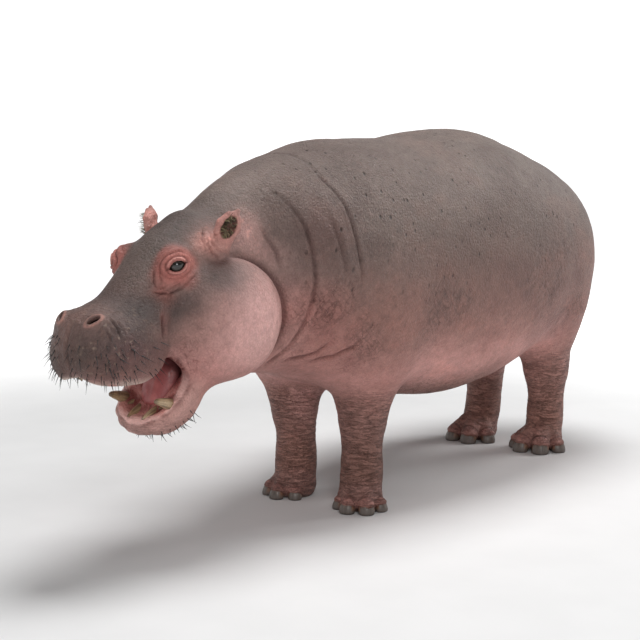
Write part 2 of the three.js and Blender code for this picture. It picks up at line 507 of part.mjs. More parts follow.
const teeth = [];
for (const s of [1, -1]) {
  const side = s > 0 ? 'left' : 'right', flip = (m) => (s > 0 ? m : mirrorX(m));
  teeth.push(['lower_tusk_' + side, flip(lowerTusk()), flip(lowerTusk(GAP + 0.3))]);
  teeth.push(['lower_incisor_' + side, flip(lowerIncisor()), flip(lowerIncisor(GAP + 0.3))]);
  teeth.push(['side_incisor_' + side, flip(sideIncisor()), flip(sideIncisor(GAP + 0.3))]);
  teeth.push(['upper_tusk_' + side, flip(upperTusk()), flip(upperTusk(GAP + 0.3))]);
  teeth.push(['upper_incisor_' + side, flip(upperIncisor()), flip(upperIncisor(GAP + 0.3))]);
}
const tongue = tongueSolid(), tonguePocket = fattened(tongue, 1.0);

let head = skinned([-396, -2180, 520], [396, -1100, 1420], STEP.head).intersect(headBox())
  .subtract(jawBox(GAP)).subtract(earBox(1, GAP)).subtract(earBox(-1, GAP))
  .subtract(eyeSolid(1, GAP)).subtract(eyeSolid(-1, GAP)).subtract(eyeOpening(1)).subtract(eyeOpening(-1)).subtract(tonguePocket);
for (const t of teeth) if (t[0].startsWith('upper')) head = head.subtract(t[2]);
put('head', head, HIDE_WARM);

let lowerJaw = skinned([-242, -1870, 420], [242, -1430, 860], STEP.jaw).intersect(jawBox()).subtract(tonguePocket);
for (const t of teeth) if (!t[0].startsWith('upper')) lowerJaw = lowerJaw.subtract(t[2]);
put('lower_jaw', lowerJaw, HIDE_WARM);

put('tongue', tongue, TONGUE);
for (const t of teeth) put(t[0], t[1], IVORY);

const earLeft = skinned([110, -1570, 1130], [290, -1420, 1330], STEP.ear).intersect(earBox(1));
put('ear_left', earLeft, HIDE_WARM);
put('ear_right', mirrorX(earLeft), HIDE_WARM);
put('eye_left', eyeSolid(1), EYE_GLASS);
put('eye_right', eyeSolid(-1), EYE_GLASS);

put('tail', skinned([-100, 1040, 660], [100, 1280, 1240], STEP.tail).intersect(tailBox()), HIDE);

for (const [name, cut, lo, hi, tips] of [
  ['foreleg', legBox.fore, [-2, -870, -60], [378, -400, 560], foreToes],
  ['hindleg', legBox.hind, [-2, 630, -60], [398, 1110, 620], hindToes]]) {
  let leg = skinned(lo, hi, STEP.leg).intersect(cut(1)).intersect(ground());
  tips.forEach((t) => { leg = leg.subtract(nail(t, GAP)); });
  put(name + '_left', leg, HIDE);
  put(name + '_right', mirrorX(leg), HIDE);
  tips.forEach((t, i) => {
    const n = nail(t);
    put('nail_' + name.slice(0, 4) + '_left_' + (i + 1), n, HORN);
    put('nail_' + name.slice(0, 4) + '_right_' + (i + 1), mirrorX(n), HORN);
  });
}

export default group;
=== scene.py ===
# A still, life-size hippopotamus. One skin replaces the solids of flesh; eyes, teeth, tongue,
# toenails and bristles are pieces of their own. Lengths in this script are millimetres in
# the animal's own frame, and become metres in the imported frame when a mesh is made.
import math
import bpy
import numpy as np
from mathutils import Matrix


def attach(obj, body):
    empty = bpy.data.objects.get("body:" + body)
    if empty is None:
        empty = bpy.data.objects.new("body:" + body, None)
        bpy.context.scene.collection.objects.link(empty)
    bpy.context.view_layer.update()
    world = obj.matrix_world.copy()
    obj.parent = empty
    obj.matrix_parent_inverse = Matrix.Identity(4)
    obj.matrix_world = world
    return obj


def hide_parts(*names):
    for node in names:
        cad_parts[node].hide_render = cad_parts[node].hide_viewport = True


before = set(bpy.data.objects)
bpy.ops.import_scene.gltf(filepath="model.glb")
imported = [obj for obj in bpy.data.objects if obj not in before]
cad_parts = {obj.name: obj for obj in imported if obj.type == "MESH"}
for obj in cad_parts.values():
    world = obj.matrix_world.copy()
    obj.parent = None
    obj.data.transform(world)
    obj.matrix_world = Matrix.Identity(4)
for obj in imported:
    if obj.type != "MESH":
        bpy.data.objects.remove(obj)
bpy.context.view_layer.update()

COARSE = 1.0          # grid spacing factor

# ==== FIELD START
ORIGIN_Y = 431.35
FORE_STANCE, HIND_STANCE = (182, -634), (188, 872)
FORE_TOE_REACH, HIND_TOE_REACH, FORE_FOOT_SPLAY, HIND_FOOT_SPLAY, FORE_TOE_RADIUS, HIND_TOE_RADIUS = 106, 134, 26, 8, 34, 42
TOE_ANGLES = (-62, -20, 20, 62)
GAPE = 45
HINGE_Y, HINGE_Z = -1450, 850
EYE_RADIUS = 31
EYE_CENTRE = np.array([147.5, -1703.0, 1108.0])
EAR_TURN, EAR_LEAN = 52, 28
TRUNK = np.array([
    [-1600, 1020, 110, 140, 200, 2.00], [-1500, 1010, 158, 247, 290, 2.05], [-1380, 1010, 190, 342, 350, 2.10],
    [-1250, 1020, 226, 399, 380, 2.10], [-1100, 1020, 338, 452, 394, 2.10], [-920, 1010, 399, 504, 433, 2.15],
    [-720, 1000, 442, 558, 480, 2.20], [-500, 990, 476, 573, 526, 2.25], [-250, 980, 498, 586, 560, 2.25],
    [0, 970, 513, 625, 579, 2.25], [220, 970, 520, 638, 564, 2.25], [450, 980, 516, 585, 524, 2.20],
    [660, 1000, 494, 509, 476, 2.15], [820, 1010, 458, 452, 420, 2.10], [950, 1010, 391, 367, 347, 2.05],
    [1050, 1000, 305, 279, 267, 2.00], [1115, 990, 200, 176, 176, 2.00], [1143, 985, 70, 60, 60, 2.00]], float)
SKULL = np.array([
    [-2055, 895, 40, 35, 50, 2.0], [-2030, 895, 70, 58, 70, 2.0], [-1985, 895, 92, 80, 90, 2.0],
    [-1928, 895, 108, 101, 110, 2.1], [-1858, 915, 116, 131, 130, 2.1], [-1772, 955, 128, 174, 160, 2.1],
    [-1680, 1000, 147, 213, 180, 2.1], [-1588, 1020, 169, 243, 210, 2.1], [-1500, 1030, 178, 268, 220, 2.1],
    [-1400, 1030, 150, 266, 200, 2.1], [-1300, 1030, 80, 184, 120, 2.1]], float)


def smin(a, b, k):
    h = np.maximum(k - np.abs(a - b), 0) / k
    return np.minimum(a, b) - h * h * k * 0.25


def smax(a, b, k):
    return -smin(-a, -b, k)


def jaw(u, w, x=0.0):
    c, s = math.cos(math.radians(GAPE)), math.sin(math.radians(GAPE))
    return np.array([x, HINGE_Y - c * u - s * w, HINGE_Z - s * u + c * w], float)


def turned(pitch, yaw, roll):
    p, y, r = map(math.radians, (pitch, yaw, roll))
    rx = np.array([[1, 0, 0], [0, math.cos(p), -math.sin(p)], [0, math.sin(p), math.cos(p)]])
    ry = np.array([[math.cos(r), 0, math.sin(r)], [0, 1, 0], [-math.sin(r), 0, math.cos(r)]])
    rz = np.array([[math.cos(y), -math.sin(y), 0], [math.sin(y), math.cos(y), 0], [0, 0, 1]])
    return rz @ rx @ ry


class Ell:
    """A rounded box or ellipsoid, joined (sign 1) or carved (sign -1) with a soft blend."""
    def __init__(self, c, r, tilt=(0, 0, 0), blend=30, n=2, sign=1, axes=None):
        self.c, self.r, self.blend, self.n, self.sign = np.array(c, float), r, blend, n, sign
        self.m = turned(*tilt) if axes is None else np.array(axes, float).T
        reach = max(r) + blend + 20
        self.lo, self.hi = self.c - reach, self.c + reach
        self.side = abs(c[0]) > 1e-6 and c[0] - max(r) < blend

    def at(self, x, y, z):
        dx, dy, dz = x - self.c[0], y - self.c[1], z - self.c[2]
        m, r, n = self.m, self.r, self.n
        p = m[0, 0] * dx + m[1, 0] * dy + m[2, 0] * dz
        q = m[0, 1] * dx + m[1, 1] * dy + m[2, 1] * dz
        s = m[0, 2] * dx + m[1, 2] * dy + m[2, 2] * dz
        if n == 2:
            k0 = np.sqrt((p / r[0]) ** 2 + (q / r[1]) ** 2 + (s / r[2]) ** 2) + 1e-9
            k1 = np.sqrt((p / r[0] ** 2) ** 2 + (q / r[1] ** 2) ** 2 + (s / r[2] ** 2) ** 2) + 1e-12
            return np.where(k0 < 0.05, -min(r), k0 * (k0 - 1) / k1)
        a, b, g = np.abs(p) / r[0], np.abs(q) / r[1], np.abs(s) / r[2]
        k0 = (a ** n + b ** n + g ** n) ** (1 / n) + 1e-9
        k1 = np.sqrt((a ** (n - 1) / r[0]) ** 2 + (b ** (n - 1) / r[1]) ** 2 + (g ** (n - 1) / r[2]) ** 2) / k0 ** (n - 1) + 1e-9
        return np.where(k0 < 0.05, -min(r), (k0 - 1) / k1)


class Limb:
    """A round-ended limb that tapers from one ball to another."""
    def __init__(self, a, b, ra, rb, blend=30, sign=1):
        self.a, self.b, self.ra, self.rb, self.blend, self.sign = np.array(a, float), np.array(b, float), ra, rb, blend, sign
        self.d = self.b - self.a
        self.L = float(self.d @ self.d)
        reach = max(ra, rb) + blend + 20
        self.lo, self.hi = np.minimum(self.a, self.b) - reach, np.maximum(self.a, self.b) + reach
        self.side = abs(a[0]) > 1e-6 and min(a[0], b[0]) - max(ra, rb) < blend and a[0] * b[0] >= 0

    def at(self, x, y, z):
        a, d = self.a, self.d
        t = np.clip(((x - a[0]) * d[0] + (y - a[1]) * d[1] + (z - a[2]) * d[2]) / self.L, 0, 1)
        return np.sqrt((x - a[0] - t * d[0]) ** 2 + (y - a[1] - t * d[1]) ** 2 + (z - a[2] - t * d[2]) ** 2) - (self.ra + (self.rb - self.ra) * t)


class Lens:
    """The opening between two lids: a pointed oval, carved along the eye's own look."""
    def __init__(self, c, across, top, look, half_w, half_h, blend):
        self.c, self.ax, self.tp, self.lk, self.w, self.h, self.blend, self.sign, self.side = c, across, top, look, half_w, half_h, blend, -1, False
        self.lo, self.hi = c - 75, c + 75

    def at(self, x, y, z):
        dx, dy, dz = x - self.c[0], y - self.c[1], z - self.c[2]
        a = self.ax[0] * dx + self.ax[1] * dy + self.ax[2] * dz
        t = self.tp[0] * dx + self.tp[1] * dy + self.tp[2] * dz
        l = self.lk[0] * dx + self.lk[1] * dy + self.lk[2] * dz
        shape = (np.abs(t) - self.h * (1 - (a / self.w) ** 2)) / np.sqrt(1 + (2 * self.h * a / self.w ** 2) ** 2)
        return np.maximum(shape, 8 - l)


class Grid:
    def __init__(self, X, Y, Z):
        self.ax = (X, Y, Z)
        self.shape = (len(X), len(Y), len(Z))
        self.dtype = np.float32

    def xyz(self):
        X, Y, Z = self.ax
        return X[:, None, None], Y[None, :, None], Z[None, None, :]

    def pick(self, lo, hi):
        s = tuple(slice(int(np.searchsorted(a, l)), int(np.searchsorted(a, h))) for a, l, h in zip(self.ax, lo, hi))
        return s, Grid(*(a[q] for a, q in zip(self.ax, s)))


class Points:
    def __init__(self, x, y, z):
        self.p = (x, y, z)
        self.shape = x.shape
        self.dtype = np.float64

    def xyz(self):
        return self.p

    def pick(self, lo, hi):
        x, y, z = self.p
        m = np.nonzero((x > lo[0]) & (x < hi[0]) & (y > lo[1]) & (y < hi[1]) & (z > lo[2]) & (z < hi[2]))[0]
        return m, Points(x[m], y[m], z[m])


class Loft:
    def __init__(self, T):
        self.T, self.y = T, T[:, 0]
        h = np.diff(self.y)
        self.t = np.zeros_like(T)
        for c in range(1, 6):
            v = T[:, c]
            d = np.diff(v) / h
            t = np.zeros(len(v))
            t[0], t[-1] = d[0], d[-1]
            for i in range(1, len(v) - 1):
                if d[i - 1] * d[i] > 0:
                    w1, w2 = 2 * h[i] + h[i - 1], h[i] + 2 * h[i - 1]
                    t[i] = (w1 + w2) / (w1 / d[i - 1] + w2 / d[i])
            self.t[:, c] = t

    def at(self, x, y, z):
        Y, T = self.y, self.T
        yc = np.clip(y, Y[0], Y[-1])
        i = np.clip(np.searchsorted(Y, yc, side="right") - 1, 0, len(Y) - 2)
        h = Y[i + 1] - Y[i]
        s = (yc - Y[i]) / h
        s2, s3 = s * s, s * s * s
        b0, b1, b2, b3 = 2 * s3 - 3 * s2 + 1, (s3 - 2 * s2 + s) * h, 3 * s2 - 2 * s3, (s3 - s2) * h
        zc, w, up, dn, n = ((b0 * T[i, c] + b1 * self.t[i, c] + b2 * T[i + 1, c] + b3 * self.t[i + 1, c]).astype(np.float32) for c in range(1, 6))
        dz = z - zc
        q = np.where(dz > 0, up, dn)
        a, b = np.abs(x) / w, np.abs(dz) / q
        r = (a ** n + b ** n) ** (1 / n) + np.float32(1e-6)
        rn = r ** (n - 1)
        g = np.sqrt((a ** (n - 1) / rn / w) ** 2 + (b ** (n - 1) / rn / q) ** 2) + np.float32(1e-9)
        f = np.where(r < 0.15, -np.minimum(w, q) * 0.85, (r - 1) / g)
        return np.maximum(np.maximum(f, Y[0] - y), y - Y[-1])


def blend_in(P, f, forms):
    for o in forms:
        for s in ((1, -1) if o.side else (1,)):
            lo, hi = np.array(o.lo, float), np.array(o.hi, float)
            if s < 0:
                lo[0], hi[0] = -o.hi[0], -o.lo[0]
            idx, Q = P.pick(lo, hi)
            if 0 in Q.shape:
                continue
            x, y, z = Q.xyz()
            d = o.at(s * x, y, z)
            f[idx] = smin(f[idx], d, o.blend) if o.sign > 0 else smax(f[idx], -d, o.blend)
    return f


def toe_tips(stance, reach, splay, radius):
    out = []
    for deg in TOE_ANGLES:
        a, outer = math.radians(deg + splay), abs(deg) > 40
        k = reach * (0.88 if outer else 1.03)
        out.append(dict(a=a, x=stance[0] + math.sin(a) * k, y=stance[1] - math.cos(a) * k, x0=stance[0] + math.sin(a) * 50,
                        y0=stance[1] - math.cos(a) * 50, r=radius * (0.92 if outer else 1.05)))
    return out


fore_toes, hind_toes = toe_tips(FORE_STANCE, FORE_TOE_REACH, FORE_FOOT_SPLAY, FORE_TOE_RADIUS), toe_tips(HIND_STANCE, HIND_TOE_REACH, HIND_FOOT_SPLAY, HIND_TOE_RADIUS)
body_forms = [
    Ell([227, -657, 850], [175, 237, 353], [0, 0, 8], 120), Ell([236, 786, 885], [196, 268, 400], [0, 0, 6], 120),
    Limb([235, -652, 720], [197, -638, 400], 148, 85, 110), Limb([184, -643, 440], [181, -634, 160], 97, 82, 60),
    Limb([183, -640, 180], [FORE_STANCE[0], FORE_STANCE[1] - 12, 60], 78, 95, 40),
    Limb([224, 804, 740], [192, 890, 420], 163, 102, 120), Limb([181, 918, 440], [186, 914, 160], 107, 83, 60),
    Limb([184, 900, 180], [HIND_STANCE[0] + 4, HIND_STANCE[1] + 8, 60], 79, 97, 40),
    *[Limb([t["x0"], t["y0"], 2.2 * t["r"]], [t["x"], t["y"], 0.95 * t["r"]], 1.12 * t["r"], t["r"], 12) for t in fore_toes + hind_toes],
    Limb([0, 1085, 1150], [0, 1172, 1040], 66, 42, 45), Limb([0, 1172, 1040], [0, 1202, 880], 42, 31, 20),
    Limb([0, 1202, 880], [0, 1198, 720], 31, 21, 20)]
cheeks = [Ell([181, -1454, 893], [136, 246, 225], [-14, 0, 0], 30), Ell([110, -1561, 806], [83, 196, 138], [-40, 0, 0], 70),
          Limb([120, -1600, 980], [115, -1740, 860], 75, 62, 60)]
mandible = [Limb(jaw(100, -10, 75), jaw(318, -42, 95), 75, 52, 50), Ell(jaw(308, -52), [157, 151, 68], [45, 0, 0], 40, 2.5)]
LIP_RIM = [[230, 135, -16], [300, 142, -16], [355, 135, -16], [405, 113, -18], [437, 76, -20], [452, 36, -22], [455, 0, -23]]
lower_lip = [Limb(jaw(a[0], a[2], a[1]), jaw(b[0], b[2], b[1]), 30, 30, 20) for a, b in zip(LIP_RIM, LIP_RIM[1:])]
mouth = [Limb(jaw(412, 113, -400), jaw(412, 113, 400), 133, 133, 20, -1), Ell(jaw(215, 70), [118, 205, 85], [45, 0, 0], 30, 2, -1),
         Limb(jaw(160, 85), jaw(20, 100), 60, 35, 30, -1)]
gums = [Ell(jaw(352, -20, 112), [34, 44, 30], [45, 0, 0], 18), Ell(jaw(372, -28, 36), [30, 48, 26], [45, 0, 0], 18),
        Ell(jaw(366, -26, 76), [20, 34, 22], [45, 0, 0], 15)]
face = [Ell([0, -1901, 838], [188, 196, 142], [4, 0, 0], 40, 2.2), Ell([113, -1892, 783], [82, 136, 86], [0, 6, 0], 45),
        Ell([75, -1983, 795], [85, 95, 103], [0, 0, 0], 35), Ell([85, -2006, 910], [48, 59, 44], [10, -14, 0], 30),
        Limb([104, -1600, 980], [97, -1822, 880], 96, 78, 60), Ell([123, -1685, 1104], [51, 67, 70], [0, 0, 0], 45)]
palate = [Ell([0, -1895, 690], [128, 165, 62], [4, 0, 0], 20, 2.6, -1)]
ears = [Limb([150, -1492, 1156], [186, -1486, 1206], 48, 36, 30),
        Ell([202, -1486, 1240], [42, 23, 54], [0, EAR_TURN, EAR_LEAN], 16),
        Limb([212, -1474, 1266], [230, -1459, 1299], 25, 8, 14),
        Limb([181, -1526, 1225], [193, -1517, 1258], 12, 13, 9),
        Limb([193, -1517, 1258], [213, -1491, 1288], 13, 10, 9),
        Limb([216, -1481, 1199], [232, -1463, 1230], 8, 9, 8),
        Limb([232, -1463, 1230], [235, -1462, 1271], 9, 8, 8),
        Ell([215, -1496, 1239], [25, 24, 43], [0, EAR_TURN, EAR_LEAN], 8, 2, -1)]

# the eye's look, and the tilt of the slit between the lids
LOOK = np.array([0.80, -0.58, 0.13]) / np.linalg.norm([0.80, -0.58, 0.13])
_across = np.cross(LOOK, [0, 0, 1.0]); _across /= np.linalg.norm(_across)
_up = np.cross(_across, LOOK)
LID_TILT = math.radians(20)
# _across points forward-out to the animal's front side; the front corner hangs lower
if _across[1] > 0:
    _across, _up = -_across, _up
ACROSS = _across * math.cos(LID_TILT) - _up * math.sin(LID_TILT)
TOP = _up * math.cos(LID_TILT) + _across * math.sin(LID_TILT)
lids = [Ell(EYE_CENTRE, [39, 39, 39], (0, 0, 0), 16)]
eye_cut = [Lens(EYE_CENTRE - 3 * TOP, ACROSS, TOP, LOOK, 36, 20, 3), Ell(EYE_CENTRE, [31.4] * 3, (0, 0, 0), 1.5, 2, -1)]

# nostril: a slit that slants back, up and outward, in a raised rim
NOSTRIL = np.array([84.0, -2046.0, 938.0])
_n = np.array([0.30, -0.70, 0.65]); _n /= np.linalg.norm(_n)
_s = np.array([0.60, 0.42, 0.62]); _s -= _n * (_s @ _n); _s /= np.linalg.norm(_s)
_t = np.cross(_n, _s)
nostrils = [Ell(NOSTRIL - 6 * _n, [37, 23, 15], blend=14, axes=[_s, _t, _n]), Ell(NOSTRIL - 4 * _n, [26, 11.5, 34], blend=7, sign=-1, axes=[_s, _t, _n])]

trunk_loft, skull_loft = Loft(TRUNK), Loft(SKULL)


def body(P, fine=True):
    x, y, z = P.xyz()
    f = np.array(np.broadcast_to(trunk_loft.at(x, y, z), P.shape), dtype=P.dtype)
    blend_in(P, f, body_forms)
    idx, H = P.pick([-9999] * 3, [9999, -1000, 9999])
    if 0 not in H.shape:
        x, y, z = H.xyz()
        g = np.array(f[idx])
        blend_in(H, g, cheeks)
        g = smin(g, blend_in(H, np.full(H.shape, 1000, H.dtype), mandible), 50)
        blend_in(H, g, mouth + lower_lip + gums)
        s = np.array(np.broadcast_to(skull_loft.at(x, y, z), H.shape), dtype=H.dtype)
        blend_in(H, s, face + palate)
        if fine:
            blend_in(H, s, lids)
        g = smin(g, s, 35)
        blend_in(H, g, ears)
        if fine:
            blend_in(H, g, nostrils + eye_cut)
        f[idx] = g
    x, y, z = P.xyz()
    return np.maximum(f, -z)
# ==== FIELD END


def spaced(parts):
    out = [parts[0][0]]
    for a, b, step in parts:
        n = max(1, round((b - a) / (step * COARSE)))
        out += list(a + (b - a) * (np.arange(n) + 1) / n)
    return np.array(out, np.float32)


def skin_mesh():
    X = spaced([(0, 110, 5.5), (110, 190, 2.8), (190, 262, 4), (262, 345, 7), (345, 560, 10)])
    Y = spaced([(-2135, -1990, 3.6), (-1990, -1750, 5), (-1750, -1650, 2.8), (-1650, -1545, 5), (-1545, -1440, 3.5), (-1440, -1200, 6),
                (-1200, -880, 8), (-880, -800, 11), (-800, -680, 6), (-680, 640, 13), (640, 820, 6.5), (820, 1260, 9)])
    Z = spaced([(-5, 0, 5), (0, 60, 5), (60, 450, 6.5), (450, 1060, 6), (1060, 1145, 3), (1145, 1180, 5), (1180, 1305, 3.2), (1305, 1650, 9)])
    return nets(body, X, Y, Z, True)


def nets(field, X, Y, Z, mirror):
    """Closed mesh of a field: one vertex in each cell that the surface crosses. With mirror, X
    starts at the middle plane and the half is joined to its mirror image."""
    F = field(Grid(X, Y, Z))
    if not mirror:
        F[0] = 1
    F[-1], F[:, 0], F[:, -1], F[:, :, 0], F[:, :, -1] = 1, 1, 1, 1, 1
    I = F < 0
    nx, ny, nz = F.shape
    cnt = np.zeros((nx - 1, ny - 1, nz - 1), np.int8)
    for a in (0, 1):
        for b in (0, 1):
            for c in (0, 1):
                cnt += I[a:nx - 1 + a, b:ny - 1 + b, c:nz - 1 + c]
    cells = np.argwhere((cnt > 0) & (cnt < 8))
    N = len(cells)
    ids = np.full(cnt.shape, -1, np.int32)
    i, j, k = cells.T
    ids[i, j, k] = np.arange(N)
    acc, num = np.zeros((N, 3)), np.zeros(N)
    corner = [(q & 1, (q >> 1) & 1, q >> 2) for q in range(8)]
    for a, b in ((0, 1), (2, 3), (4, 5), (6, 7), (0, 2), (1, 3), (4, 6), (5, 7), (0, 4), (1, 5), (2, 6), (3, 7)):
        A, B = corner[a], corner[b]
        va, vb = F[i + A[0], j + A[1], k + A[2]], F[i + B[0], j + B[1], k + B[2]]
        m = (va < 0) != (vb < 0)
        t = (va[m] / (va[m] - vb[m]))[:, None]
        pa = np.stack([X[i[m] + A[0]], Y[j[m] + A[1]], Z[k[m] + A[2]]], 1)
        pb = np.stack([X[i[m] + B[0]], Y[j[m] + B[1]], Z[k[m] + B[2]]], 1)
        acc[m] += pa + t * (pb - pa)
        num[m] += 1
    P = acc / num[:, None]
    cell_size = np.stack([np.diff(X)[i], np.diff(Y)[j], np.diff(Z)[k]], 1)
    for _ in range(2):
        e = 0.7
        f = field(Points(*P.T.copy()))
        G = np.stack([field(Points(*(P + d).T.copy())) - field(Points(*(P - d).T.copy())) for d in np.eye(3) * e], 1) / (2 * e)
        gg = np.maximum((G ** 2).sum(1), 0.15)
        step = G * (f / gg)[:, None]
        lim = cell_size.min(1) * 0.45
        ln = np.linalg.norm(step, axis=1) + 1e-9
        P = P - step * np.minimum(1, lim / ln)[:, None]
        if mirror:
            P[:, 0] = np.maximum(P[:, 0], 0.05)
        P[:, 2] = np.maximum(P[:, 2], 0.0)
    quads = []

    def add(a, b, c, d, flip):
        q = np.stack([a, b, c, d], 1)
        q[flip] = q[flip][:, ::-1]
        quads.append(q)
    # edges along x, y and z, off the middle plane
    e = np.argwhere(I[:-1, 1:-1, 1:-1] != I[1:, 1:-1, 1:-1]); a, b, c = e[:, 0], e[:, 1] + 1, e[:, 2] + 1
    add(ids[a, b - 1, c - 1], ids[a, b, c - 1], ids[a, b, c], ids[a, b - 1, c], ~I[a, b, c])
    e = np.argwhere(I[1:-1, :-1, 1:-1] != I[1:-1, 1:, 1:-1]); a, b, c = e[:, 0] + 1, e[:, 1], e[:, 2] + 1
    add(ids[a - 1, b, c - 1], ids[a - 1, b, c], ids[a, b, c], ids[a, b, c - 1], ~I[a, b, c])
    e = np.argwhere(I[1:-1, 1:-1, :-1] != I[1:-1, 1:-1, 1:]); a, b, c = e[:, 0] + 1, e[:, 1] + 1, e[:, 2]
    add(ids[a - 1, b - 1, c], ids[a, b - 1, c], ids[a, b, c], ids[a - 1, b, c], ~I[a, b, c])
    half = np.concatenate(quads)
    if not mirror:
        return P, half, N
    quads.clear()
    # edges in the middle plane join the half to its mirror image
    e = np.argwhere(I[0, :-1, 1:-1] != I[0, 1:, 1:-1]); b, c = e[:, 0], e[:, 1] + 1
    add(ids[0, b, c - 1] + N, ids[0, b, c] + N, ids[0, b, c], ids[0, b, c - 1], ~I[0, b, c])
    e = np.argwhere(I[0, 1:-1, :-1] != I[0, 1:-1, 1:]); b, c = e[:, 0] + 1, e[:, 1]
    add(ids[0, b - 1, c] + N, ids[0, b - 1, c], ids[0, b, c], ids[0, b, c] + N, ~I[0, b, c])
    middle = np.concatenate(quads)
    Q = np.concatenate([half, half[:, ::-1] + N, middle])
    V = np.concatenate([P, P * [-1, 1, 1]])
    return V, Q, N


def normals_of(V, Q):
    a, b, c, d = (V[Q[:, k]] for k in range(4))
    n = np.cross(c - a, d - b)
    out = np.zeros_like(V)
    for k in range(4):
        for ax in range(3):
            out[:, ax] += np.bincount(Q[:, k], n[:, ax], len(V))
    return out / (np.linalg.norm(out, axis=1, keepdims=True) + 1e-12)


# ---------------------------------------------------------------- noise and masks
_lattice = np.random.default_rng(7).random((32, 32, 32)) * 2 - 1


def noise(P, size, seed=0):
    """Smooth lattice noise in [-1, 1]; size is one number or one per axis, in mm."""
    q = P / np.array(size, float) + np.array([3.17, 5.71, 8.13]) * (seed + 1)
    i = np.floor(q).astype(int)
    f = q - i
    f = f * f * (3 - 2 * f)
    i %= 32
    j = (i + 1) % 32
    L, out = _lattice, 0
    for a, wx in ((i[:, 0], 1 - f[:, 0]), (j[:, 0], f[:, 0])):
        for b, wy in ((i[:, 1], 1 - f[:, 1]), (j[:, 1], f[:, 1])):
            out = out + wx * wy * (L[a, b, i[:, 2]] * (1 - f[:, 2]) + L[a, b, j[:, 2]] * f[:, 2])
    return out


def crease(P, size, seed, width):
    """Thin meandering lines, 1 on a line: where stretched noise passes through zero."""
    return np.clip(1 - np.abs(noise(P, size, seed) + 0.4 * noise(P, np.array(size) * 0.43, seed + 9)) / width, 0, 1) ** 2


def ramp(v, a, b):
    t = np.clip((v - a) / (b - a), 0, 1)
    return t * t * (3 - 2 * t)


def blob(P, c, r, tilt=(0, 0, 0)):
    """1 at the middle of an ellipsoid, falling smoothly to 0 beyond its edge; both sides of the animal."""
    d = (np.stack([np.abs(P[:, 0]), P[:, 1], P[:, 2]], 1) - np.array(c, float)) @ turned(*tilt) / np.array(r, float)
    return np.exp(-(d ** 2).sum(1) * 1.2)


def to_line(P, pts, side_on=1.0):
    """Distance from each point, mirrored to the left side, to a bent line, and the place along it from 0 to 1.
    With side_on below 1, distance across the animal counts for less."""
    pts = np.array(pts, float) * [side_on, 1, 1]
    q = np.stack([np.abs(P[:, 0]) * side_on, P[:, 1], P[:, 2]], 1)
    best, at = np.full(len(P), 1e9), np.zeros(len(P))
    near = np.nonzero(((q > pts.min(0) - 90) & (q < pts.max(0) + 90)).all(1))[0]
    q = q[near]
    seg = np.linalg.norm(np.diff(pts, axis=0), axis=1)
    run = np.concatenate([[0], np.cumsum(seg)]) / seg.sum()
    b, s = np.full(len(q), 1e9), np.zeros(len(q))
    for k in range(len(pts) - 1):
        d = pts[k + 1] - pts[k]
        t = np.clip((q - pts[k]) @ d / (d @ d), 0, 1)
        r = np.linalg.norm(q - pts[k] - t[:, None] * d, axis=1)
        m = r < b
        b[m], s[m] = r[m], (run[k] + t * (run[k + 1] - run[k]))[m]
    best[near], at[near] = b, s
    return best, at


# skin folds: points along the fold on the left side, depth, half width, taper at each end
FOLDS = [
    ([(0, -970, 1500), (91, -967, 1493), (232, -983, 1413), (327, -945, 1304), (380, -935, 1165), (397, -925, 1035), (398, -912, 923)], 6, 6.5, 0.0, 0.35),
    ([(60, -1225, 1395), (120, -1218, 1385), (204, -1169, 1332), (277, -1137, 1237), (310, -1129, 1142), (325, -1122, 1023), (312, -1132, 937), (282, -1143, 850), (227, -1162, 765), (145, -1195, 695), (0, -1210, 660)], 6.0, 7.0, 0.3, 0.0),
    ([(177, -1290, 1240), (196, -1273, 1198), (223, -1240, 1133), (235, -1230, 1068), (238, -1228, 1025)], 4, 8, 0.3, 0.3),
    ([(60, -1165, 680), (202, -1127, 699), (226, -1076, 705), (260, -1036, 722), (304, -1009, 763), (345, -985, 815)], 6.5, 9, 0.3, 0.4),
    ([(150, -1040, 668), (245, -1005, 692), (274, -958, 696), (309, -932, 718), (340, -901, 737), (370, -885, 800)], 6.5, 9, 0.3, 0.4),
    ([(300, -820, 560), (255, -850, 545), (200, -868, 540), (130, -860, 545)], 7, 11, 0.3, 0.3),
    ([(330, -1040, 1290), (352, -1015, 1180), (362, -1000, 1080), (360, -1000, 980)], 5, 11, 0.3, 0.4),
]
JOWL_EDGE = [(160, -1555, 1138), (187, -1510, 1141), (205, -1420, 1122), (237, -1337, 1064), (236, -1262, 1000), (242, -1220, 928), (240, -1200, 852), (210, -1192, 766), (142, -1195, 684)]


def ring_eye(P):
    """Across, up and out from the left eye's centre, for both eyes, along the lids' own slant."""
    d = np.stack([np.abs(P[:, 0]), P[:, 1], P[:, 2]], 1) - EYE_CENTRE
    return d @ ACROSS, d @ TOP, d @ LOOK


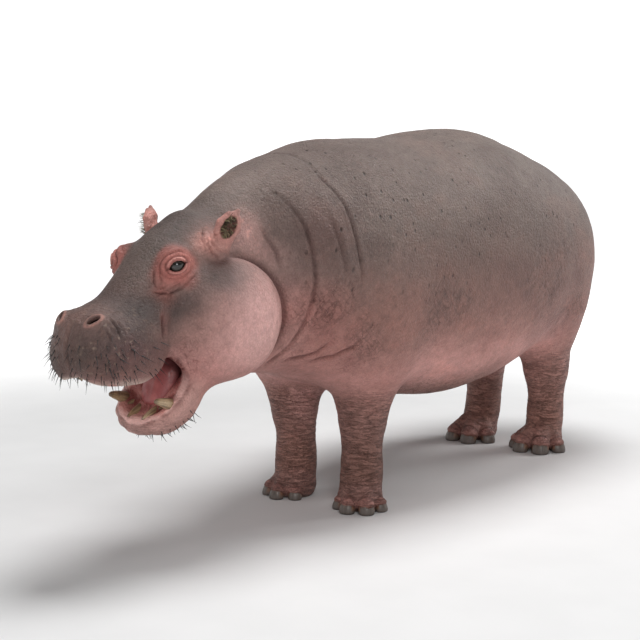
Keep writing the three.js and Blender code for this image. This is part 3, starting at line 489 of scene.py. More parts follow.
def relief(P, Nn):
    """How far the skin stands out from the plain form, in mm."""
    ax, y, z = np.abs(P[:, 0]), P[:, 1], P[:, 2]
    D = np.zeros(len(P))
    for pts, depth, w, t0, t1 in FOLDS:
        d, s = to_line(P, pts, 0.3)
        k = np.ones(len(P))
        if t0: k *= ramp(s, -0.02, t0)
        if t1: k *= 1 - ramp(s, 1 - t1, 1.02)
        D += k * depth * (-np.exp(-(d / w) ** 2) + 0.42 * np.exp(-((d - 2.1 * w) / (1.4 * w)) ** 2) - 0.35 * np.exp(-(d / (3.6 * w)) ** 2))
    # the jowl overhangs the neck: the neck is drawn in along the jowl's edge
    d, s = to_line(P, JOWL_EDGE)
    x_, y_, z_ = Points(*np.stack([ax, y, z], 1).T.copy()).xyz()
    off = cheeks[0].at(x_, y_, z_)
    behind = (1 - ramp(d, 30, 75)) * ramp(s, 0.02, 0.42) * (1 - ramp(s, 0.9, 1.0))
    D -= behind * 21 * ramp(off, 2.0, 8.0) * np.exp(-(np.maximum(off - 8, 0) / 19) ** 1.5)
    D += behind * 4 * (1 - ramp(off, 1.0, 5.0)) * np.exp(-(d / 45) ** 2)
    # lids: rounded rings round the slit, with creases between them
    a, t, l = ring_eye(P)
    m = np.sqrt((a / 1.32) ** 2 + (t * 1.0) ** 2) + 1.6 * noise(P, 26, 71) + 0.9 * noise(P, 11, 72)
    near = ramp(l, -25, 5) * (1 - ramp(m, 62, 90))
    upper, back_ = ramp(t, -16, 12), ramp(-a, -30, 20)
    D += near * (2.8 * np.exp(-((m - 26) / 4.0) ** 2) - 3.8 * np.exp(-((m - 33.5) / 2.6) ** 2) + 3.8 * np.exp(-((m - 41) / 5) ** 2)
                 - (4.4 * upper + 1.4) * np.exp(-((m - 49.5) / 3.0) ** 2) + (2.8 * upper + 0.8) * np.exp(-((m - 57) / 5.5) ** 2)
                 - 3.4 * upper * np.exp(-((m - 66) / 3.4) ** 2))
    # bags and creases below, in front of and behind the eye
    for c, dep, w in (([(100, -1800, 1030), (118, -1794, 1017), (147, -1743, 1012), (169, -1692, 1034), (182, -1647, 1066), (180, -1600, 1090)], 4.6, 5.0),
                      ([(126, -1782, 1022), (136, -1769, 1014), (157, -1716, 1040), (171, -1685, 1052)], 5.5, 4.6),
                      ([(96, -1764, 1100), (101, -1772, 1075), (106, -1776, 1052), (118, -1776, 1034)], 5.0, 4.6),
                      ([(112, -1752, 1090), (116, -1758, 1072), (124, -1756, 1052)], 4.0, 4.0),
                      ([(166, -1770, 1000), (172, -1790, 965), (182, -1806, 925), (186, -1812, 890), (188, -1818, 850)], 9.0, 8.0),
                      ([(128, -1850, 992), (132, -1880, 960), (150, -1900, 930)], 3.0, 12.0),
                      ([(111, -1523, 1241), (135, -1553, 1192), (155, -1555, 1157), (186, -1535, 1118)], 6.0, 5.5),
                      ([(140, -1527, 1206), (152, -1546, 1174), (171, -1540, 1144), (200, -1518, 1114)], 6.5, 5.0),
                      ([(133, -1509, 1219), (162, -1535, 1181), (186, -1524, 1156), (200, -1490, 1140)], 5.0, 4.5),
                      ([(120, -2012, 960), (132, -2004, 935), (152, -1992, 905), (160, -1996, 875)], 4.6, 4.5),
                      ([(132, -1992, 950), (148, -1980, 915), (166, -1978, 880)], 4.0, 4.5),
                      ([(112, -2034, 918), (136, -2030, 900), (148, -2024, 872)], 3.6, 4.0)):
        d, s = to_line(P, c)
        D += ramp(s, -0.05, 0.25) * (1 - ramp(s, 0.75, 1.05)) * dep * (-np.exp(-(d / w) ** 2) + 0.5 * np.exp(-((d - 2 * w) / (1.3 * w)) ** 2))
    face = ramp(-y, 1500, 1600) * (1 - ramp(-y, 1960, 2040)) * ramp(z, 780, 860) * (1 - ramp(m, 40, 60) * 0.0)
    D -= face * (1.3 * crease(P @ turned(30, 0, 0), (60, 60, 16), 91, 0.13) + 0.9 * crease(P @ turned(-30, 0, 20), (50, 50, 14), 92, 0.14))
    under = blob(P, (160, -1725, 1010), (60, 110, 55)) + blob(P, (170, -1560, 1150), (60, 60, 60))
    D -= under * 2.6 * crease(P @ turned(25, 0, 0), (60, 60, 13), 93, 0.20)
    # groove down the middle of the upper lip, and shallow folds behind the nostrils
    front = (1 - ramp(y, -2040, -1990)) * ramp(z, 742, 800) * (1 - ramp(z, 905, 960))
    D += front * (-3.2 * np.exp(-(P[:, 0] / 7) ** 2) + 2.0 * np.exp(-((ax - 17) / 9) ** 2))
    for k, r in enumerate((50, 64, 80)):
        d = np.linalg.norm((np.stack([ax, y, z], 1) - NOSTRIL) / [1, 1.15, 1], axis=1)
        D += (1.6 - 0.3 * k) * -np.exp(-((d - r + 5 * noise(P, 60, 3)) / 3.6) ** 2) * ramp(z, 770, 850) * (1 - ramp(z, 960, 1000)) * ramp(y, -2090, -2030)
    muzzle = blob(P, (90, -1990, 840), (150, 130, 110))
    # warts and hair bases on the muzzle
    D += muzzle * 3.0 * ramp(noise(P, 10, 5), 0.40, 0.85) + muzzle * 1.8 * noise(P, 16, 6)
    for w in ((145, -2021, 890), (158, -1965, 858), (70, -2088, 850), (176, -1930, 830)):
        D += 4.5 * np.exp(-((np.linalg.norm(np.stack([ax, y, z], 1) - w, axis=1)) / 6.5) ** 2)
    # wrinkles: across the legs, round the neck, on the chest and the corner of the mouth
    leg = (1 - ramp(z, 420, 600)) * ramp(z, 20, 75)
    D -= leg * (2.3 * crease(P, (70, 70, 15), 1, 0.16) + 1.4 * crease(P, (45, 45, 9), 2, 0.2))
    knee = np.exp(-((z - 330) / 60) ** 2) + np.exp(-((z - 140) / 45) ** 2)
    D -= knee * leg * 2.0 * crease(P, (120, 120, 13), 4, 0.22)
    neck = blob(P, (250, -1090, 980), (260, 190, 430))
    D -= neck * (1.8 * crease(P, (120, 22, 150), 11, 0.14) + 1.0 * crease(P, (60, 14, 80), 12, 0.18))
    chest = blob(P, (190, -900, 660), (300, 260, 120))
    D -= chest * 2.2 * crease(P @ turned(0, 20, -25), (90, 90, 18), 13, 0.16)
    corner = blob(P, (190, -1660, 760), (70, 90, 90))
    D -= corner * 3.6 * crease(P @ turned(30, 0, 0), (60, 16, 60), 14, 0.16)
    flank = ramp(z, 520, 700) * ramp(y, -950, -700)
    D -= flank * (0.9 * crease(P @ turned(35, 0, 0), (90, 22, 70), 15, 0.12) + 0.8 * crease(P @ turned(-40, 0, 0), (90, 26, 70), 16, 0.12))
    groin = blob(P, (230, 700, 560), (200, 190, 110))
    D -= groin * 3.0 * crease(P @ turned(-35, 0, 0), (90, 70, 20), 17, 0.18)
    D += 1.5 * noise(P, 85, 20) + 0.7 * noise(P, 33, 21)
    # toes: knuckle creases above each nail
    for t in fore_toes + hind_toes:
        tall = t["r"] * 1.5
        q = np.stack([ax, y, z], 1) - np.array([t["x"] + math.sin(t["a"]) * t["r"] * 0.36, t["y"] - math.cos(t["a"]) * t["r"] * 0.36, t["r"] * 0.42])
        d = np.linalg.norm(q @ (turned(0, math.degrees(t["a"]), 0) @ turned(-18, 0, 0)) / [t["r"] * 0.96, t["r"] * 0.8, t["r"] * 1.16], axis=1)
        D -= np.exp(-((d - 1.06) / 0.05) ** 2) * 2.5 * ramp(z, 4, 20) + np.exp(-((d - 1.42) / 0.06) ** 2) * 2.4 * ramp(z, tall * 0.8, tall * 1.1)
        D += np.exp(-((d - 1.2) / 0.08) ** 2) * 1.6 * ramp(z, 8, 24)
    quiet = np.maximum(1 - ramp(np.linalg.norm(np.stack([ax, y, z], 1) - EYE_CENTRE, axis=1), 30, 36), 0)
    D *= ramp(z, 2, 14) * (1 - quiet)
    inside = mouth_mask(P, Nn)
    # the outer edge of the lower lip: a groove along the rim, and puckers across the lip's inner side
    rim = [tuple(jaw(a[0] + (8 if a[0] > 430 else 0), a[2] + 14, a[1] + (26 if a[0] < 430 else 14))) for a in LIP_RIM]
    d, s = to_line(P, rim)
    D = D * (1 - 0.75 * inside) - ramp(s, 0.02, 0.2) * 2.6 * np.exp(-(d / 5) ** 2)
    D -= inside * 1.2 * crease(P, (16, 16, 16), 62, 0.22)
    return np.clip(D, -27, 8)


def hollows(P, D):
    """0 to 1: how deep in a fold, wrinkle or crease a point of the skin lies."""
    return np.clip((-D - 1.0) / np.interp(P[:, 1], [-1560, -1440], [5.0, 9.0]), 0, 1)


def mouth_mask(P, Nn):
    """1 on the lining of the mouth, 0 on the hide."""
    ax, y, z = np.abs(P[:, 0]), P[:, 1], P[:, 2]
    c, s = math.cos(math.radians(GAPE)), math.sin(math.radians(GAPE))
    u, w = -c * (y - HINGE_Y) - s * (z - HINGE_Z), -s * (y - HINGE_Y) + c * (z - HINGE_Z)
    nu, nw = -c * Nn[:, 1] - s * Nn[:, 2], -s * Nn[:, 1] + c * Nn[:, 2]
    floor_ = ramp(nw, -0.25, 0.25) * ramp(w, -60, -35) * (1 - ramp(w, 150, 190)) * ramp(u, 20, 60) * (1 - ramp(u, 470, 490))
    rim = np.interp(u, [150, 230, 300, 355, 405, 437, 455, 475], [136, 146, 154, 148, 128, 96, 60, 20])
    floor_ *= (1 - ramp(ax, rim - 6, rim + 10)) * (1 - ramp(u, 462, 480))
    roof = ramp(-Nn[:, 2], 0.0, 0.4) * (1 - ramp(z, 785, 850)) * (1 - ramp(ax, 120, 140)) * ramp(y, -2025, -1995) * (y < -1560) * ramp(w, 60, 100)
    deep = ((u > 0) & (u < 330) & (w > -10) & (w < 190) & (ax < 118)) * 1.0
    deep *= ramp(0.6 - (ax / 118) ** 2, -0.3, 0.1)
    return np.clip(np.maximum.reduce([floor_, roof, deep]), 0, 1)
# ==== END GEO


# ---------------------------------------------------------------- colours
def rgb(r, g, b):
    """A colour named by its screen values, as linear light."""
    c = np.array([r, g, b]) / 255
    return np.where(c <= 0.04045, c / 12.92, ((c + 0.055) / 1.055) ** 2.4)


TAUPE, TAUPE_LIGHT, SLATE, PINK, ROSE, BLUSH = rgb(108, 93, 87), rgb(114, 101, 95), rgb(76, 62, 59), rgb(192, 144, 138), rgb(150, 88, 80), rgb(162, 112, 104)
MAUVE, BROWN, LIP, MEMBRANE, THROAT_SHADE, TOE, PURPLE = rgb(134, 98, 90), rgb(118, 84, 74), rgb(205, 160, 152), rgb(140, 70, 66), rgb(34, 14, 13), rgb(162, 116, 108), rgb(84, 56, 56)


def mix(C, col, m):
    return C + (np.array(col) - C) * np.clip(m, 0, 1)[:, None]


def fronting(Nn, P):
    """How far a normal looks the way the ear's cup opens."""
    a = math.radians(EAR_TURN)
    return Nn[:, 0] * np.sign(P[:, 0]) * math.sin(a) - Nn[:, 1] * math.cos(a)


def hide_colours(P, Nn, inside):
    ax, y, z = np.abs(P[:, 0]), P[:, 1], P[:, 2]
    up = Nn[:, 2]
    w = np.stack([noise(P, 160, 30 + k) for k in range(3)], 1) * 38 + np.stack([noise(P, 50, 40 + k) for k in range(3)], 1) * 12
    Q = P + w
    Q[:, 0] = np.abs(Q[:, 0])
    qy, qz = Q[:, 1], Q[:, 2]
    C = np.tile(TAUPE, (len(P), 1))
    C = mix(C, TAUPE_LIGHT, ramp(qz, 1150, 1500) * ramp(qy, -900, 100))
    # painted shade: skin that faces up is made darker
    C = mix(C, C * 0.84, ramp(up, 0.2, 0.9))
    # flanks turn brown-mauve, then pink, downward
    C = mix(C, MAUVE, 0.9 * (1 - ramp(qz, 780, 1240)))
    C = mix(C, BLUSH, 0.75 * (1 - ramp(qz, 520, 860)) * ramp(qz, 380, 520))
    C = mix(C, PINK, 0.7 * ramp(-up, 0.25, 0.9) * ramp(z, 420, 560))
    # shoulder and neck: warm low down, dark above
    C = mix(C, rgb(160, 108, 100), 0.6 * blob(Q, (280, -1020, 760), (230, 150, 170)))
    C = mix(C, rgb(88, 68, 64), 0.9 * blob(Q, (300, -1080, 1200), (240, 190, 190)))
    C = mix(C, rgb(150, 98, 90), 0.6 * blob(Q, (300, -1120, 880), (240, 120, 120)))
    C = mix(C, TAUPE, 0.5 * blob(Q, (0, -1200, 1400), (260, 300, 200)))
    # legs: mauve-brown, pinker inside and at the top
    leg = 1 - ramp(qz, 420, 640)
    C = mix(C, MAUVE, 0.8 * leg)
    C = mix(C, BROWN, 0.75 * leg * (1 - ramp(qz, 150, 420)) * ramp(qz, 70, 130))
    C = mix(C, PINK, 0.5 * leg * ramp(-Nn[:, 0] * np.sign(P[:, 0]), 0.2, 0.9) * ramp(qz, 220, 460))
    C = mix(C, PINK, 0.6 * blob(Q, (130, 600, 520), (110, 130, 130)))
    C = mix(C, ROSE, 0.35 * blob(Q, (120, 690, 450), (90, 110, 100)))
    # jowl and chin: pale pink; a dark patch behind and below the eye
    C = mix(C, PINK, 0.95 * blob(Q, (270, -1420, 850), (190, 210, 190)))
    C = mix(C, rgb(172, 122, 116), 0.9 * blob(Q, (190, -1560, 720), (160, 190, 130)))
    C = mix(C, BLUSH, 0.55 * blob(Q, (150, -1500, 640), (190, 170, 90)))
    # crown, bridge and muzzle: grey-brown to slate
    C = mix(C, TAUPE, 0.85 * blob(Q, (0, -1640, 1230), (110, 260, 150), (-25, 0, 0)))
    C = mix(C, SLATE, 0.35 * blob(Q, (40, -1600, 1260), (130, 120, 90)))
    C = mix(C, SLATE, 0.95 * blob(Q, (40, -1880, 960), (150, 150, 110), (25, 0, 0)))
    C = mix(C, SLATE, 1.25 * blob(Q, (90, -1960, 850), (165, 190, 150)))
    C = mix(C, PURPLE, 0.75 * blob(Q, (165, -1930, 790), (90, 150, 80)))
    C = mix(C, rgb(62, 50, 46), 0.8 * blob(Q, (60, -2050, 790), (140, 100, 80)))
    C = mix(C, rgb(66, 54, 50), 0.95 * blob(Q, (130, -1850, 970), (60, 70, 50)))
    C = mix(C, rgb(78, 66, 62), 0.6 * blob(Q, (60, -1620, 1230), (90, 120, 80)))
    q = P + w * 0.4
    C = mix(C, rgb(80, 67, 63), 1.1 * blob(q, (246, -1560, 1072), (84, 92, 60)))
    C = mix(C, SLATE, 0.8 * blob(q, (190, -1500, 1120), (60, 70, 35)))
    for c, r, k in (((200, -1690, 985), 46, 0.75), ((184, -1755, 948), 44, 0.9), ((184, -1800, 912), 42, 0.9)):
        C = mix(C, SLATE, k * blob(q, c, (r, r, r)))
    for c, r, k in (((125, -1775, 1023), 38, 0.6), ((149, -1748, 1006), 34, 0.7), ((156, -1770, 980), 30, 0.75), ((172, -1798, 936), 30, 0.6), ((182, -1810, 895), 30, 0.35)):
        C = mix(C, rgb(148, 92, 84), k * blob(P + w * 0.5, c, (r, r * 0.8, r)))
    # painted shade: the head's upward-facing skin is made darker
    C = mix(C, C * 0.70, ramp(up, -0.1, 0.75) * (1 - ramp(y, -1480, -1300)) * ramp(y, -2010, -1900))
    C = mix(C, C * 1.22, blob(P, (90, -2000, 840), (150, 120, 110)))
    # painted light: lighter low down at the rear, standing in for light from the floor
    C = mix(C, C * 1.36, ramp(y, 250, 560) * (1 - ramp(z, 400, 720)))
    C = mix(C, rgb(122, 92, 86), 0.55 * ramp(y, 700, 1000) * ramp(z, 380, 480) * (1 - ramp(z, 620, 900)))
    # painted light: the far forelegs lighter against the body's shadow; the belly's underside and the legs lighter,
    # standing in for light from the floor
    C = mix(C, C * 1.25, (1 - ramp(z, 480, 640)) * ramp(-y, 500, 700) * (P[:, 0] < 0) * ramp(z, 60, 120))
    C = mix(C, C * [1.34, 1.38, 1.40], ramp(-up, 0.0, 0.6) * ramp(z, 420, 500) * ramp(y, -900, -600) * (1 - ramp(y, 200, 450)))
    C = mix(C, C * 1.10, 1 - ramp(z, 420, 640))
    C = mix(C, rgb(212, 170, 165), 0.6 * blob(P, (280, -1410, 860), (200, 210, 200)))
    # painted shade: the neck's upward-facing skin is made darker
    C = mix(C, C * 0.92, ramp(up, 0.2, 0.8) * ramp(y, -1300, -1000))
    # red round the eye and ear
    d_eye = np.linalg.norm((np.stack([ax, y, z], 1) - EYE_CENTRE) / [1.3, 1.25, 1.0], axis=1)
    d_eye = d_eye + 14 * noise(P, 55, 33)
    C = mix(C, rgb(158, 92, 84), 0.80 * (1 - ramp(d_eye, 40, 104)) * ramp(ax, 66, 96))
    C = mix(C, rgb(160, 106, 98), 0.5 * np.exp(-((d_eye - 46) / 13) ** 2) * ramp(ax, 90, 120) * ramp(z, 1085, 1120))
    C = mix(C, rgb(196, 134, 124), 0.9 * blob(P + w * 0.3, (200, -1492, 1235), (70, 66, 84)))
    C = mix(C, rgb(190, 138, 128), 0.8 * blob(q, (160, -1550, 1178), (60, 60, 42)))
    C = mix(C, PINK, 0.75 * blob(q, (205, -1375, 1225), (80, 90, 80)))
    C = mix(C, PINK, 0.5 * blob(q, (250, -1320, 1140), (60, 90, 50)))
    # cup of the ear: dark olive within, partly its own colour and partly painted shade in the hollow
    e = np.stack([ax, y, z], 1) - np.array([215, -1496, 1239])
    cup = np.exp(-((np.linalg.norm(e @ turned(0, EAR_TURN, EAR_LEAN) / [25.5, 25, 43.5], axis=1)) ** 10)) * ramp(fronting(Nn, P), -0.35, 0.2)
    C = mix(C, rgb(46, 36, 24), 0.97 * cup)
    # dark brow between eye and nostril; the crown is flecked with paler dots
    C = mix(C, rgb(62, 50, 47), 0.8 * blob(q, (138, -1838, 985), (44, 62, 40)))
    C = mix(C, rgb(66, 54, 51), 0.7 * blob(q, (205, -1745, 965), (38, 60, 44)))
    dots = (ramp(noise(P, 11, 95), 0.42, 0.75) * (blob(P, (110, -1500, 1240), (150, 170, 110)) + blob(P, (180, -1330, 1230), (120, 130, 130))))
    C = mix(C, C * [1.40, 1.28, 1.24], dots * 0.85)
    spots = ramp(noise(P, 10, 97), 0.58, 0.82) * blob(P, (270, -1300, 940), (110, 130, 190))
    C = mix(C, C * [0.66, 0.58, 0.58], spots * 0.8)
    # painted shade in the creases of the face, under the eye and at the corner of the mouth
    face = ramp(-y, 1480, 1600) * (1 - ramp(-y, 1960, 2040)) * ramp(z, 780, 860)
    C = mix(C, C * 0.72, np.clip(face * crease(P @ turned(30, 0, 0), (60, 60, 16), 91, 0.10), 0, 1) * 0.7)
    under = np.clip(blob(P, (160, -1725, 1010), (60, 110, 55)) + blob(P, (170, -1560, 1150), (60, 60, 60)), 0, 1)
    C = mix(C, C * [0.66, 0.58, 0.58], under * crease(P @ turned(25, 0, 0), (60, 60, 13), 93, 0.16) * 0.8)
    corner_ = blob(P, (185, -1690, 780), (60, 90, 90)) * (1 - inside)
    C = mix(C, C * [0.74, 0.66, 0.66], corner_ * crease(P @ turned(30, 0, 0), (60, 16, 60), 14, 0.14))
    # rims: pale lip edge, nostril, lids
    c, s = math.cos(math.radians(GAPE)), math.sin(math.radians(GAPE))
    u, wv = -c * (y - HINGE_Y) - s * (z - HINGE_Z), -s * (y - HINGE_Y) + c * (z - HINGE_Z)
    lip_low = ramp(u, 200, 300) * (1 - ramp(wv, 0, 20)) * ramp(wv, -150, -30) * (ax < 240)
    C = mix(C, rgb(186, 144, 136), 0.85 * lip_low)
    C = mix(C, rgb(176, 142, 134), 0.6 * ramp(u, 300, 420) * ramp(-wv, 60, 120) * (ax < 200))
    edge = ramp(-up, 0.55, 0.9) * ramp(-y, 1800, 1900) * ramp(z, 660, 700) * (1 - ramp(z, 725, 750)) * (1 - inside)
    C = mix(C, rgb(192, 170, 160), 0.85 * edge)
    nd = np.linalg.norm((np.stack([ax, y, z], 1) - NOSTRIL) @ np.stack([_s, _t, _n], 1) / [35, 21, 26], axis=1)
    C = mix(C, rgb(160, 116, 106), 0.75 * np.exp(-((nd - 1.0) / 0.16) ** 2))
    # painted shade deep inside the nostril
    C = mix(C, rgb(28, 16, 15), ramp(-((np.stack([ax, y, z], 1) - NOSTRIL) @ _n), 8, 16) * (nd < 1.2))
    # toes pale at the top, cuticles brown, painted shade in the crease above each nail
    for t in fore_toes + hind_toes:
        e = np.stack([ax, y, z], 1) - np.array([t["x"] + math.sin(t["a"]) * t["r"] * 0.36, t["y"] - math.cos(t["a"]) * t["r"] * 0.36, t["r"] * 0.42])
        d = np.linalg.norm(e @ (turned(0, math.degrees(t["a"]), 0) @ turned(-18, 0, 0)) / [t["r"] * 0.96, t["r"] * 0.8, t["r"] * 1.16], axis=1)
        C = mix(C, TOE, 0.75 * (1 - ramp(d, 1.2, 1.75)) * ramp(z, 20, 44))
        C = mix(C, rgb(104, 66, 54), 0.8 * np.exp(-((d - 1.03) / 0.07) ** 2))
        C = mix(C, rgb(84, 60, 54), 0.7 * np.exp(-((d - 1.42) / 0.06) ** 2) * ramp(z, 40, 60))
    # painted shade on the lowest skin, where the feet meet the floor
    C = mix(C, rgb(96, 74, 68), 0.7 * (1 - ramp(z, 4, 26)))
    # the muzzle's skin is rough: brown and dark mottles, small pale warts
    muz = blob(P, (90, -1980, 840), (170, 150, 140)) * (1 - inside)
    C = mix(C, C * [1.35, 1.28, 1.18], muz * 0.8 * ramp(noise(P, 16, 82), 0.1, 0.7))
    C = mix(C, C * [0.62, 0.62, 0.62], muz * 0.8 * ramp(noise(P, 22, 83), 0.15, 0.7))
    C = mix(C, rgb(156, 136, 120), muz * 0.6 * ramp(noise(P, 9, 5), 0.50, 0.8))
    # blotches, mottling and freckles
    C = mix(C, C * [0.86, 0.82, 0.80], blob(Q, (430, -150, 1080), (260, 620, 240)))
    big = noise(P, (150, 190, 120), 80) + 0.5 * noise(P, (60, 80, 50), 81)
    body_ = ramp(y, -1400, -1100) * ramp(z, 300, 600)
    C = mix(C, C * [0.78, 0.74, 0.74], body_ * 0.55 * ramp(big, 0.15, 0.7))
    C = mix(C, C * [1.16, 1.06, 1.03], body_ * 0.55 * ramp(-big, 0.15, 0.7))
    C = C * (1 + 0.07 * noise(P, 24, 50) + 0.06 * noise(P, 70, 51))[:, None]
    fre = ramp(noise(P, 17, 52), 0.55, 0.8) * ramp(noise(P, 240, 53), -0.2, 0.4)
    C = mix(C, C * 0.72, fre * 0.6)
    # lining of the mouth: rose at the lips, red inward, with painted shade deep in the mouth
    M = np.tile(rgb(204, 144, 136), (len(P), 1))
    M = mix(M, MEMBRANE, 1 - ramp(u, 250, 380) * 1.0)
    lip_in = np.maximum(ramp(ax, 112, 130) * ramp(u, 200, 300), ramp(u, 400, 440)) * (wv < 60)
    M = mix(M, rgb(222, 178, 170), 0.95 * lip_in)
    M = mix(M, rgb(186, 110, 100), ramp(z, 700, 730) * ramp(-y, 1700, 1850))
    # painted shade: dark deep in the mouth
    M = mix(M, THROAT_SHADE, (1 - ramp(u, 170, 350)) * (1 - 0.3 * lip_in))
    # painted shade: a dark red ring round each tooth socket
    for q, r in ((jaw(352, -20, 112), 38), (jaw(372, -28, 36), 36), (jaw(366, -26, 76), 26)):
        d = np.linalg.norm(np.stack([ax, y, z], 1) - q, axis=1)
        M = mix(M, rgb(104, 40, 36), 0.85 * np.exp(-((d - r + 3) / 11) ** 2))
    M = M * (1 + 0.08 * noise(P, 30, 54))[:, None]
    C = C + (M - C) * np.clip(inside, 0, 1)[:, None]
    # edge of the lids: dark and wet; painted shade where they meet the eyeball, in the slit's corners and in the crease
    # above; a pale pink rim, and a painted highlight on the ridge above
    g = np.linalg.norm(np.stack([ax, y, z], 1) - EYE_CENTRE, axis=1)
    a, t, l = ring_eye(P)
    m = np.sqrt((a / 1.32) ** 2 + t ** 2)
    lid = (1 - ramp(g, 33.5, 37)) * (l > 0)
    C = mix(C, rgb(92, 50, 48), 0.85 * lid)
    slit_corner_shade = np.exp(-((t + 0.12 * (np.abs(a) - 30)) / 3.4) ** 2) * ramp(np.abs(a), 25, 31) * (1 - ramp(np.abs(a), 38, 50)) * (l > -10)
    C = mix(C, rgb(70, 36, 34), 0.85 * slit_corner_shade)
    C = mix(C, C * [0.66, 0.56, 0.55], 0.8 * np.exp(-((m - 33.5) / 2.8) ** 2) * ramp(t, -2, 12) * (l > -15))
    C = mix(C, rgb(206, 150, 140), 0.5 * np.exp(-((m - 27.5) / 3.0) ** 2) * ramp(np.abs(t), 4, 14) * (l > -10))
    C = mix(C, C * [1.22, 1.18, 1.16], 0.7 * np.exp(-((m - 41) / 4.2) ** 2) * ramp(t, -6, 14) * (l > -20))
    C = mix(C, rgb(66, 38, 36), 0.9 * (1 - ramp(g, 31.8, 33)))
    return np.clip(C, 0.003, 1)


# ---------------------------------------------------------------- meshes and materials
def to_frame(V):
    return (np.asarray(V, float) + [0, ORIGIN_Y, 0]) * 0.001


def mesh_object(name, V, Q, attrs=(), smooth=True):
    me = bpy.data.meshes.new(name)
    Q = np.asarray(Q)
    me.vertices.add(len(V))
    me.vertices.foreach_set("co", to_frame(V).astype(np.float32).ravel())
    k = Q.shape[1]
    me.loops.add(Q.size)
    me.loops.foreach_set("vertex_index", Q.astype(np.int32).ravel())
    me.polygons.add(len(Q))
    me.polygons.foreach_set("loop_start", np.arange(0, Q.size, k, dtype=np.int32))
    me.polygons.foreach_set("loop_total", np.full(len(Q), k, np.int32))
    me.update(calc_edges=True)
    me.polygons.foreach_set("use_smooth", np.full(len(Q), smooth))
    for an, kind, data in attrs:
        at = me.attributes.new(an, kind, "POINT")
        if kind == "FLOAT_COLOR":
            at.data.foreach_set("color", np.concatenate([data, np.ones((len(data), 1))], 1).astype(np.float32).ravel())
        else:
            at.data.foreach_set("value", np.asarray(data, np.float32))
    me.validate()
    ob = bpy.data.objects.new(name, me)
    bpy.context.scene.collection.objects.link(ob)
    return ob


class Nodes:
    """Short-hand for building a material."""
    def __init__(self, name):
        self.m = bpy.data.materials.new(name)
        self.m.use_nodes = True
        self.t = self.m.node_tree
        self.bsdf = self.t.nodes["Principled BSDF"]
        self.co = self.t.nodes.new("ShaderNodeTexCoord").outputs["Object"]

    def new(self, kind, inputs=None, **props):
        n = self.t.nodes.new(kind)
        for k, v in props.items():
            setattr(n, k, v)
        for k, v in (inputs or {}).items():
            s = n.inputs[k]
            if isinstance(v, bpy.types.NodeSocket):
                self.t.links.new(v, s)
            else:
                s.default_value = v
        return n

    def math(self, op, a, b=0.0, c=None, clamp=False):
        ins = {0: a, 1: b}
        if c is not None:
            ins[2] = c
        return self.new("ShaderNodeMath", ins, operation=op, use_clamp=clamp).outputs[0]

    def attr(self, name):
        return self.new("ShaderNodeAttribute", attribute_name=name)

    def mapped(self, rot=(0, 0, 0), scale=(1, 1, 1)):
        r = self.new("ShaderNodeMapping", {"Vector": self.co, "Rotation": [math.radians(a) for a in rot]}).outputs[0]
        return self.new("ShaderNodeMapping", {"Vector": r, "Scale": scale}).outputs[0]

    def noise(self, vec, scale, detail=2.0, rough=0.5):
        return self.new("ShaderNodeTexNoise", {"Vector": vec, "Scale": scale, "Detail": detail, "Roughness": rough}).outputs["Fac"]

    def band(self, v, lo, hi, a=0.0, b=1.0):
        return self.new("ShaderNodeMapRange", {"Value": v, "From Min": lo, "From Max": hi, "To Min": a, "To Max": b}, interpolation_type="SMOOTHSTEP").outputs["Result"]

    def mixc(self, f, a, b, blend="MIX"):
        n = self.new("ShaderNodeMix", data_type="RGBA", blend_type=blend)
        for s, v in ((n.inputs[0], f), (n.inputs[6], a), (n.inputs[7], b)):
            if isinstance(v, bpy.types.NodeSocket):
                self.t.links.new(v, s)
            else:
                s.default_value = v if not isinstance(v, tuple) or len(v) == 4 else (*v, 1)
        return n.outputs[2]

    def bump(self, height, strength, distance, normal=None):
        ins = {"Height": height, "Strength": strength, "Distance": distance}
        if normal is not None:
            ins["Normal"] = normal
        return self.new("ShaderNodeBump", ins).outputs[0]

    def out(self, **sockets):
        for k, v in sockets.items():
            s = self.bsdf.inputs[k.replace("_", " ")]
            if isinstance(v, bpy.types.NodeSocket):
                self.t.links.new(v, s)
            else:
                s.default_value = v
        return self.m


